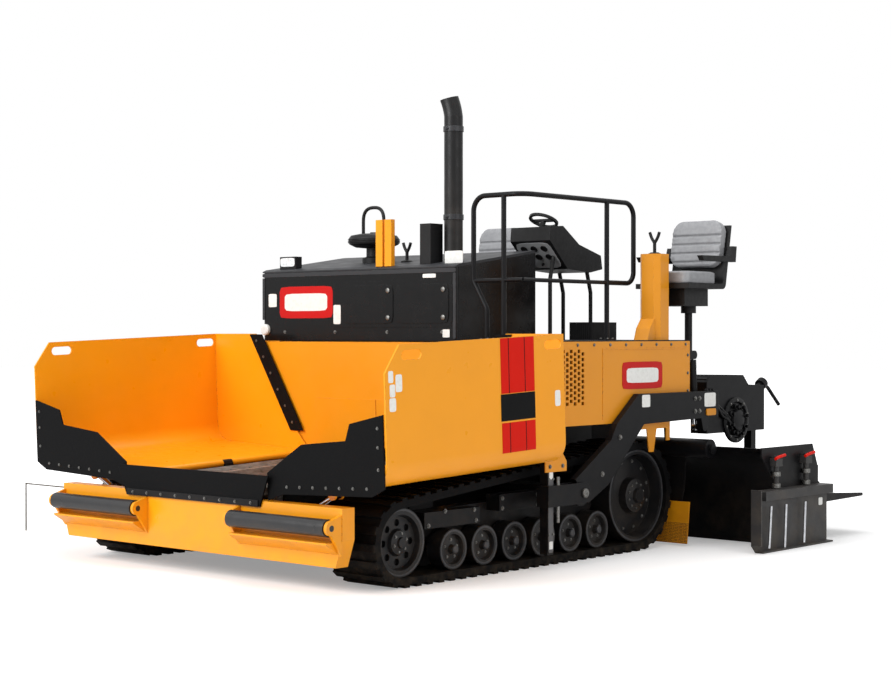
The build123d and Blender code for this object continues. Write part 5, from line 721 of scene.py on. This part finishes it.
CLEANER_X, CLEANER_STATION, CLEANER_Z = -0.58, 2.4, 2.249
cleaner_foot = at(CLEANER_X, CLEANER_STATION, CLEANER_Z)
BOWL = ((0.0, -0.02), (0.095, -0.02), (0.095, 0.03), (0.062, 0.042), (0.062, 0.11), (0.15, 0.118),
        (0.2, 0.142), (0.208, 0.165), (0.206, 0.188), (0.188, 0.212), (0.12, 0.226), (0.06, 0.23),
        (0.034, 0.231), (0.03, 0.24), (0.0, 0.241))
FIN = np.array([(0.2085, 0.0), (0.2125, 0.002), (0.2125, 0.005), (0.2085, 0.007), (0.2085, 0.0)])
fins = [turned(FIN + (0.0, height), cleaner_foot, (0, 0, 1), 96) for height in (0.152, 0.164, 0.176)]
HOOP = ((-0.7, 2.4), (-0.7, 2.69), (-0.47, 2.69), (-0.47, 2.4))
hoop = rod(bent([at(x, CLEANER_STATION, z) for x, z in HOOP], 0.105), 0.014)
bowl = turned(BOWL, cleaner_foot, (0, 0, 1), 96)
cleaner = piece("air_precleaner", [bowl, *fins, hoop], black_plastic)
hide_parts("precleaner")


# Deck: a black floor with raised tread, made by crossed waves along both diagonals, and a handrail
# of bent black tube on bolted feet.
deck_paint = painted("deck_paint", rgb(20, 20, 21), 0.5, (80, 78, 75), 0.0, 0.15)
TREAD = 150.0
along, across = deck_paint.axis(1) * TREAD, deck_paint.axis(0) * TREAD
tread = deck_paint.math("SINE", along + across) * deck_paint.math("SINE", along - across)
deck_paint.shade(Normal=deck_paint.bump(deck_paint.ramp(tread, 0.45, 0.8), 0.003))
coat(deck_paint, "deck", "deck_box")
coat(dark_paint, "handrail", "seat_posts")
# The rail's feet, each 10 mm thick, and the steps from their middles to the bolts
RAIL_FEET, FOOT_BOLT, FOOT_TOP = ((0.96, 2.0), (1.12, 2.0), (1.3, 3.02)), 0.032, 1.628
feet = np.array([(x + FOOT_BOLT * over, station + FOOT_BOLT * back) for x, station in RAIL_FEET
                 for over in (-1, 1) for back in (-1, 1)])
piece("rail_foot_bolts", [bolts(at(*feet.T, FOOT_TOP), (0, 0, 1), 0.008)], plated)


# Operator's console: a moulded black desk with a grey panel of dials and knobs on its slanted
# underside. Beside it stands the yellow column, whose top carries a short Y grip.
coat(black_plastic, "console")
panel_grey = moulded("panel_grey", (150, 152, 154))
# The underside's run and fall, for the panel that lies on it
DESK_RUN, DESK_FALL, PANEL_THICK = 0.23, 0.22, 0.006
panel_down = np.array([0.0, DESK_RUN, -DESK_FALL]) / np.hypot(DESK_RUN, DESK_FALL)
panel_out = np.array([0.0, -DESK_FALL, -DESK_RUN]) / np.hypot(DESK_RUN, DESK_FALL)
desk = at(0.43, 2.965, 2.3857) + 0.0005 * panel_out
panel = label(desk, (1, 0, 0), panel_down, 0.34, 0.275, PANEL_THICK * panel_out)
piece("console_panel", [panel], panel_grey)
DIAL_ROWS, KNOB_ROW, DIAL_COLUMNS = (0.06, 0.15), 0.225, (0.07, 0.17, 0.27)
DIAL = ((0.03, 0.0), (0.03, 0.006), (0.026, 0.009), (0.026, 0.005), (0.0, 0.005))
KNOB = ((0.012, 0.0), (0.012, 0.004), (0.009, 0.006), (0.009, 0.02), (0.0, 0.022))
spots = [[desk + (over, 0, 0) + down * panel_down + PANEL_THICK * panel_out for over in DIAL_COLUMNS]
         for down in (*DIAL_ROWS, KNOB_ROW)]
dials = [turned(DIAL, spot, panel_out, 40) for spot in (*spots[0], *spots[1])]
knobs = [turned(KNOB, spot, panel_out, 24) for spot in spots[2]]
piece("console_dials", [*dials, *knobs], black_plastic)
# The side tanks and the column take the ochre copy of the yellow, painted shade on their sides.
coat(shaded_side_yellow, "side_tank_left", "side_tank_right", "deck_column")


def y_grip(foot, stem, arm, reach):
    """The shells of a grip: a turned foot, an upright stem and two arms, each a smooth line from the
    stem out to its tip."""
    arms = [rod(spline([foot + (0, 0, stem - 0.005), foot + (0.65 * way * arm, 0, stem + 0.5 * reach),
                        foot + (way * arm, 0, stem + reach)]), 0.012) for way in (1, -1)]
    upright = rod(foot + np.outer(np.linspace(-0.01, stem, 4), (0, 0, 1)), 0.013)
    return upright, *arms, turned(GRIP_FOOT, foot, (0, 0, 1))


GRIP_FOOT = ((0.0, -0.004), (0.05, -0.004), (0.05, 0.004), (0.03, 0.014), (0.0, 0.014))
for name, foot, sizes in (("column", at(1.48, 3.4, 2.285), (0.09, 0.045, 0.08)),
                          ("hood", at(-0.122, 2.3, 2.235), (0.08, 0.04, 0.07))):
    piece(f"{name}_grip", y_grip(foot, *sizes), black_plastic)


# Side tanks: yellow plate boxes, painted a darker ochre as shade on their sides, with punched
# intakes, a blank red sign, rows of bolts along their seams and a hook bracket low down. A dark
# plate hangs below, inside the tracks.
TANK_FACE = 1.6
TANK_SEAMS = (((2.56, 2.572), (1.03, 1.56)), ((2.572, 3.66), (1.548, 1.56)))
HOOK = ((3.064, 1.01), (3.479, 1.01), (3.479, 0.84), (3.43, 0.84), (3.43, 0.937), (3.3, 0.937),
        (3.26, 0.76), (3.2, 0.76), (3.17, 0.937), (3.064, 0.937))
SKIRT = ((3.15, 0.8), (3.64, 0.8), (3.64, 1.009), (3.15, 1.009))
for name, side in SIDES:
    sign = side_card(side, TANK_FACE, (2.805, 3.329), (1.25, 1.456), 0.003)
    piece(f"tank_sign_{name}", [sign], sign_red)
    sign_panel = side_card(side, TANK_FACE + 0.003, (2.86, 3.274), (1.297, 1.409), 0.0012, 0.12)
    piece(f"tank_sign_panel_{name}", [sign_panel], label_film)
    top_row = np.linspace(at(side * TANK_FACE, 2.06, 1.585), at(side * TANK_FACE, 3.65, 1.585), 9)
    back_row = np.linspace(at(side * TANK_FACE, 3.68, 1.08), at(side * TANK_FACE, 3.68, 1.5), 4)
    heads = [bolts(spots, (side, 0, 0), 0.009) for spots in (top_row, back_row)]
    piece(f"tank_bolts_{name}", heads, plated)
    seams = [side_card(side, TANK_FACE, *seam, 0.003, 0.02) for seam in TANK_SEAMS]
    piece(f"tank_seams_{name}", seams, shaded_side_yellow)
    hook = side_plate(side, 1.56, HOOK, 0.012)
    piece(f"tank_hook_{name}", [hook], shaded_side_yellow, width=0.003)
    skirt = side_plate(side, 1.06, SKIRT, 0.006)
    piece(f"tank_skirt_{name}", [skirt], dark_paint, width=0.0015)


# Deflectors and guards behind the tracks: yellow plates near the ground, their lower halves a rusty
# mesh, and ahead of the screed's ends a stout black tube with a plate hanging from it.
mesh_yellow = Finish("mesh_yellow")
holes = mesh_yellow.node("ShaderNodeTexVoronoi", {"feature": "F1"},
                         {"Vector": mesh_yellow.place, "Scale": 85.0, "Randomness": 0.25})
low_half = mesh_yellow.ramp(mesh_yellow.axis(2), 0.186, 0.182)
rust = mesh_yellow.ramp(holes, 0.42, 0.3) * low_half
faded = mesh_yellow.ramp(mesh_yellow.cloud(7.0, 6.0), 0.4, 0.7, 0.0, 0.5)
plate_tone = mesh_yellow.blend(faded, rgb(230, 152, 20), rgb(206, 128, 22))
mesh_yellow.shade(Base_Color=mesh_yellow.blend(rust, plate_tone, rgb(92, 52, 18)),
                  Roughness=rust * 0.4 + 0.38, Specular_IOR_Level=0.35,
                  Normal=mesh_yellow.bump(holes * low_half, 0.003))
# A deflector with the strap that carries it, as X and Z
DEFLECTOR = ((1.18, 0.018), (1.612, 0.018), (1.638, 0.35), (1.3, 0.35), (1.3, 1.0), (1.24, 1.0),
             (1.24, 0.35), (1.18, 0.35))
DEFLECTOR_STATION, PLATE = 3.662, 0.012
sweeps = [prism([at(side * x, DEFLECTOR_STATION, z) for x, z in DEFLECTOR], (0, -PLATE, 0))
          for side in (1, -1)]
deflector = piece("ground_deflectors", sweeps, mesh_yellow, width=0.0015)
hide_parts("deflectors")
# The guard's tube: station and height of its axis, its ends' X and its radius
GUARD_AXIS, GUARD_X, GUARD_RADIUS = (3.735, 0.768), (1.074, 1.78), 0.075
GUARD_CAP = ((0.0, 0.0), (0.03, 0.0), (0.038, 0.01), (0.038, 0.028), (0.0, 0.03))
GUARD_PLATE = ((1.076, 0.34), (1.52, 0.34), (1.545, 0.44), (1.558, 0.62), (1.558, 0.76), (1.076, 0.76))
GUARD_STRAP = ((3.662, 1.03), (3.7, 1.03), (3.716, 0.72), (3.69, 0.72))
for name, side in SIDES:
    tube = rod(at(side * np.linspace(*GUARD_X, 8), *GUARD_AXIS), GUARD_RADIUS, 40)
    cap = turned(GUARD_CAP, at(side * (GUARD_X[1] - 0.001), *GUARD_AXIS), (side, 0, 0), 32)
    sheet = prism([at(side * x, 3.724, z) for x, z in GUARD_PLATE], (0, -PLATE, 0))
    strap = side_plate(side, 1.38, GUARD_STRAP, 0.02)
    piece(f"auger_guard_{name}", [tube, cap, sheet, strap], dark_paint)


# Tow arms: thick black plate from the tow point back to the screed, with blank plates, a yellow clip
# and bolted joints.
coat(dark_paint, "tow_arms")
ARM_FACE = 1.658
# Each bolted joint: the bolts' stations, their heights and their size
ARM_JOINTS = (((3.7, 3.76, 3.7, 3.76), (1.06, 1.06, 1.16, 1.16), 0.013),
              ((2.48, 2.7), (0.64, 0.9), 0.014))
for name, side in SIDES:
    cards = [side_card(side, ARM_FACE, (2.981, 3.086), (1.113, 1.206), 0.0015),
             side_card(side, ARM_FACE, (3.83, 3.99), (1.09, 1.2), 0.0015)]
    piece(f"arm_labels_{name}", cards, label_film, "screed")
    # The clip takes the ochre copy of the yellow, painted shade on its side.
    clip = side_card(side, ARM_FACE, (3.853, 3.983), (1.021, 1.075), 0.01)
    piece(f"arm_clip_{name}", [clip], shaded_side_yellow, "screed", width=0.002)
    heads = [bolts(at(side * ARM_FACE, stations, heights), (side, 0, 0), size)
             for stations, heights, size in ARM_JOINTS]
    piece(f"arm_bolts_{name}", heads, plated, "screed")


# Screed and augers: a black beam with sliding extensions behind two helical screws of worn steel.
# Each cheek carries a motor's drum with its ports, a ribbed valve box and three fixed pipes.
coat(dark_paint, "screed_main", "screed_cheeks", "extension_left", "extension_right")
worn_plate = painted("worn_plate", rgb(44, 43, 43), 0.46, (112, 110, 106), 0.25, 0.4)
AUGER_AXIS, SHAFT = (3.93, 0.33), 0.038


def flight(side, start, end, pitch, inner, outer, thick):
    """A helical blade: along the axis by x, its ribbon turns once a pitch and spans inner to outer.
    A point lies at the axis + radius (cos, sin) of 2 pi (x - start) / pitch."""
    x = np.linspace(start, end, int((end - start) / pitch * 40) + 1)
    ring = np.array([(inner, -thick / 2), (outer, -thick / 2), (outer, thick / 2), (inner, thick / 2)])
    turn = 2 * np.pi * (x - start) / pitch * side
    radius, shift = ring[None, :, 0], ring[None, :, 1]
    points = at(side * (x[:, None] + shift), AUGER_AXIS[0] + radius * np.cos(turn)[:, None],
                AUGER_AXIS[1] + radius * np.sin(turn)[:, None])
    faces = grid_faces(len(x), 4, True).tolist()
    last = 4 * (len(x) - 1)
    return points, faces + [[3, 2, 1, 0], [last, last + 1, last + 2, last + 3]]


for name, side in SIDES:
    low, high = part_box(f"auger_{name}")
    inside, outside = sorted((abs(low[0]), abs(high[0])))
    shaft = turned([(0.0, inside), (SHAFT, inside), (SHAFT, outside), (0.0, outside)], at(0, *AUGER_AXIS),
                   (side, 0, 0), 40)
    blade = flight(side, 0.13, 0.99, 0.3, 0.036, 0.19, 0.014)
    screw = piece(f"auger_screw_{name}", [shaft, blade], worn_plate, f"auger_{name}")
    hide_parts(f"auger_{name}")

MOTOR = (4.357, 0.966)
DRUM = ((0.185, 0.0), (0.185, 0.016), (0.172, 0.022), (0.15, 0.022), (0.14, 0.006), (0.09, 0.006),
        (0.08, 0.04), (0.046, 0.046), (0.0, 0.046))
PORT = ((0.02, 0.0), (0.02, 0.03), (0.013, 0.034), (0.013, 0.06), (0.0, 0.06))
# The valve box's outline and a rib's, as station and height; a rib's stations start from its own
VALVE = ((3.96, 1.236), (3.96, 1.308), (3.98, 1.318), (4.3, 1.318), (4.326, 1.3), (4.326, 1.236))
RIB = np.array([(0.0, 1.242), (0.0, 1.3), (0.012, 1.3), (0.012, 1.242)])
VALVE_INNER, VALVE_OUTER = 1.48, 1.59
for name, side in SIDES:
    drum = turned(DRUM, at(side * 1.606, *MOTOR), (side, 0, 0), 72)
    ports = [turned(PORT, spot, (side, 0, 0), 24) for spot in at(side * 1.612, *ring_of(MOTOR, 0.115, 8))]
    valve = side_plate(side, VALVE_INNER, VALVE, VALVE_OUTER - VALVE_INNER)
    ribs = [side_plate(side, VALVE_OUTER, RIB + (start, 0.0), 0.012)
            for start in np.linspace(3.99, 4.28, 5)]
    lines = [rod(spline(at(side * 1.625, (3.9 + step, 4.02 + step, 4.13 + step, 4.25 + 0.4 * step),
                           (1.225, 1.12 - step, 1.06 - step, 0.985 - step))), 0.012)
             for step in (0.0, 0.045, 0.09)]
    piece(f"screed_motor_{name}", [drum, *ports], dark_paint, "screed", sharp=30.0)
    piece(f"screed_valves_{name}", [valve, *ribs], dark_paint, "screed", width=0.003)
    piece(f"screed_lines_{name}", lines, black_plastic, "screed")
    heads = bolts(at(side * 1.628, *ring_of(MOTOR, 0.161, 10)), (side, 0, 0), 0.008)
    piece(f"screed_motor_bolts_{name}", [heads], plated, "screed")


# Cylinders that fold the wings and lift the screed: barrels in the chassis' black, with bright
# chromed rods.
rod_chrome = Finish("rod_chrome")
misted = rod_chrome.ramp(rod_chrome.cloud(30.0), 0.35, 0.7)
rod_chrome.shade(Base_Color=rod_chrome.blend(misted, rgb(222, 224, 228), rgb(190, 192, 196)), Metallic=1.0,
                 Roughness=rod_chrome.ramp(rod_chrome.cloud(40.0), 0.3, 0.7, 0.08, 0.2))
for name, side in SIDES:
    coat(dark_paint, f"wing_barrel_{name}", f"lift_barrel_{name}")
    coat(rod_chrome, f"wing_rod_{name}", f"lift_rod_{name}")


# End gates: worn steel side plates with three bright rods each, hung from two jacks with steel
# collars and red handles, and a small blank plate.
coat(worn_plate, "end_gate_left", "end_gate_right")
# Each bright rod: its foot's station, its lean, its lowest and highest Z
GATE_RODS = ((3.76, 0.03, 0.03, 0.35), (3.99, 0.02, 0.018, 0.35), (4.28, 0.02, 0.03, 0.35))
GATE_ROD_X, JACK_X, JACKS = 2.288, 2.212, (3.99, 4.44)
HANDLE_X, HANDLE_Z = 2.236, (0.7, 0.712, 0.724)
COLLAR = ((0.021, 0.0), (0.034, 0.004), (0.034, 0.036), (0.021, 0.04), (0.021, 0.0))
for name, side in SIDES:
    rods = [rod(at(side * GATE_ROD_X, np.linspace(foot, foot + lean, 6), np.linspace(low, high, 6)), 0.011)
            for foot, lean, low, high in GATE_RODS]
    piece(f"gate_rods_{name}", rods, rod_chrome, f"extension_{name}")
    grips = [at(side * HANDLE_X, (jack - 0.05, jack, jack + 0.09), HANDLE_Z) for jack in JACKS]
    handles = [rod(spline(grip), 0.012) for grip in grips]
    piece(f"jack_handles_{name}", handles, red_band, f"extension_{name}")
    collars = [turned(COLLAR, at(side * JACK_X, jack, z), (0, 0, 1), 40)
               for jack in JACKS for z in (0.47, 0.56)]
    piece(f"jack_collars_{name}", collars, plated, f"extension_{name}")
    card = side_card(side, 2.2572, (4.56, 4.62), (0.3, 0.36), 0.0015, 0.15)
    piece(f"gate_label_{name}", [card], label_film, f"extension_{name}")


# Seats: moulded black shells with padded grey vinyl, sewn in level channels on the back. The pads
# are blown up as cloth from the shells' cushions, then the channels are drawn in.
coat(black_plastic, "seat_left", "seat_right")
vinyl = Finish("seat_vinyl")
crease = vinyl.cloud(26.0, 5.0, 0.6)
vinyl.shade(Base_Color=vinyl.blend(vinyl.ramp(crease, 0.35, 0.7), rgb(150, 151, 154), rgb(136, 137, 140)),
            Roughness=vinyl.ramp(crease, 0.3, 0.7, 0.42, 0.55),
            Normal=vinyl.bump(vinyl.cloud(480.0, 2.0) + crease * 0.8, 0.0004))
CHANNEL_HEIGHTS, CHANNEL_DEPTH, CHANNEL_WIDTH = (2.24, 2.31, 2.38, 2.45), 0.014, 0.007
PRESSURE, LAST_FRAME = 4.0, 20


def settled(pad):
    """The mesh that a pad's modifiers make, which are then taken off it."""
    mesh = bpy.data.meshes.new_from_object(pad.evaluated_get(bpy.context.evaluated_depsgraph_get()))
    pad.modifiers.clear()
    return mesh


def seat_pads(name, body, cap=0.01):
    """The CAD cushions drawn in by 4 mm, remeshed in 8 mm cells and blown up as cloth, each point
    moved at most cap. Then every channel pulls the back in by its depth times a bell curve,
    exp(-(height above the channel / width) squared), as far as a point faces ahead."""
    source = bpy.data.meshes.new(f"{name}_start")
    shell = bmesh.new()
    shell.from_mesh(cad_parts[name].data)
    bmesh.ops.remove_doubles(shell, verts=shell.verts, dist=1e-5)
    shell.to_mesh(source)
    shell.free()
    pad = placed(f"{name}_pads", source)
    draw_in = pad.modifiers.new("draw_in", "DISPLACE")
    draw_in.mid_level, draw_in.strength = 0.0, -0.004
    cells = pad.modifiers.new("cells", "REMESH")
    cells.mode, cells.voxel_size = "VOXEL", 0.008
    base = settled(pad)
    pad.data = base
    start = read(base.vertices, "co")
    cloth = pad.modifiers.new("cloth", "CLOTH")
    cloth.settings.use_pressure, cloth.settings.uniform_pressure_force = True, PRESSURE
    cloth.settings.effector_weights.gravity = 0.0
    cloth.point_cache.frame_start, cloth.point_cache.frame_end = 1, LAST_FRAME
    for number in range(1, LAST_FRAME + 1):
        scene.frame_set(number)
    move = read(settled(pad).vertices, "co") - start
    scene.frame_set(1)
    far = np.linalg.norm(move, axis=1, keepdims=True)
    start = start + move * np.minimum(1.0, cap / np.maximum(far, 1e-9))
    ahead = np.clip(-read(base.vertices, "normal")[:, 1], 0.0, 1.0)
    across = start[:, 2, None] - np.array(CHANNEL_HEIGHTS)
    start[:, 1] += CHANNEL_DEPTH * ahead * np.exp(-(across / CHANNEL_WIDTH) ** 2).sum(1)
    base.vertices.foreach_set("co", start.ravel())
    base.shade_smooth()
    base.materials.clear()
    base.materials.append(vinyl.material)
    soften = pad.modifiers.new("soften", "SUBSURF")
    soften.levels = soften.render_levels = 1
    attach(pad, body)
    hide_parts(name)


seat_pads("seat_pads_left", "root")
seat_pads("seat_pads_right", "seat_right")
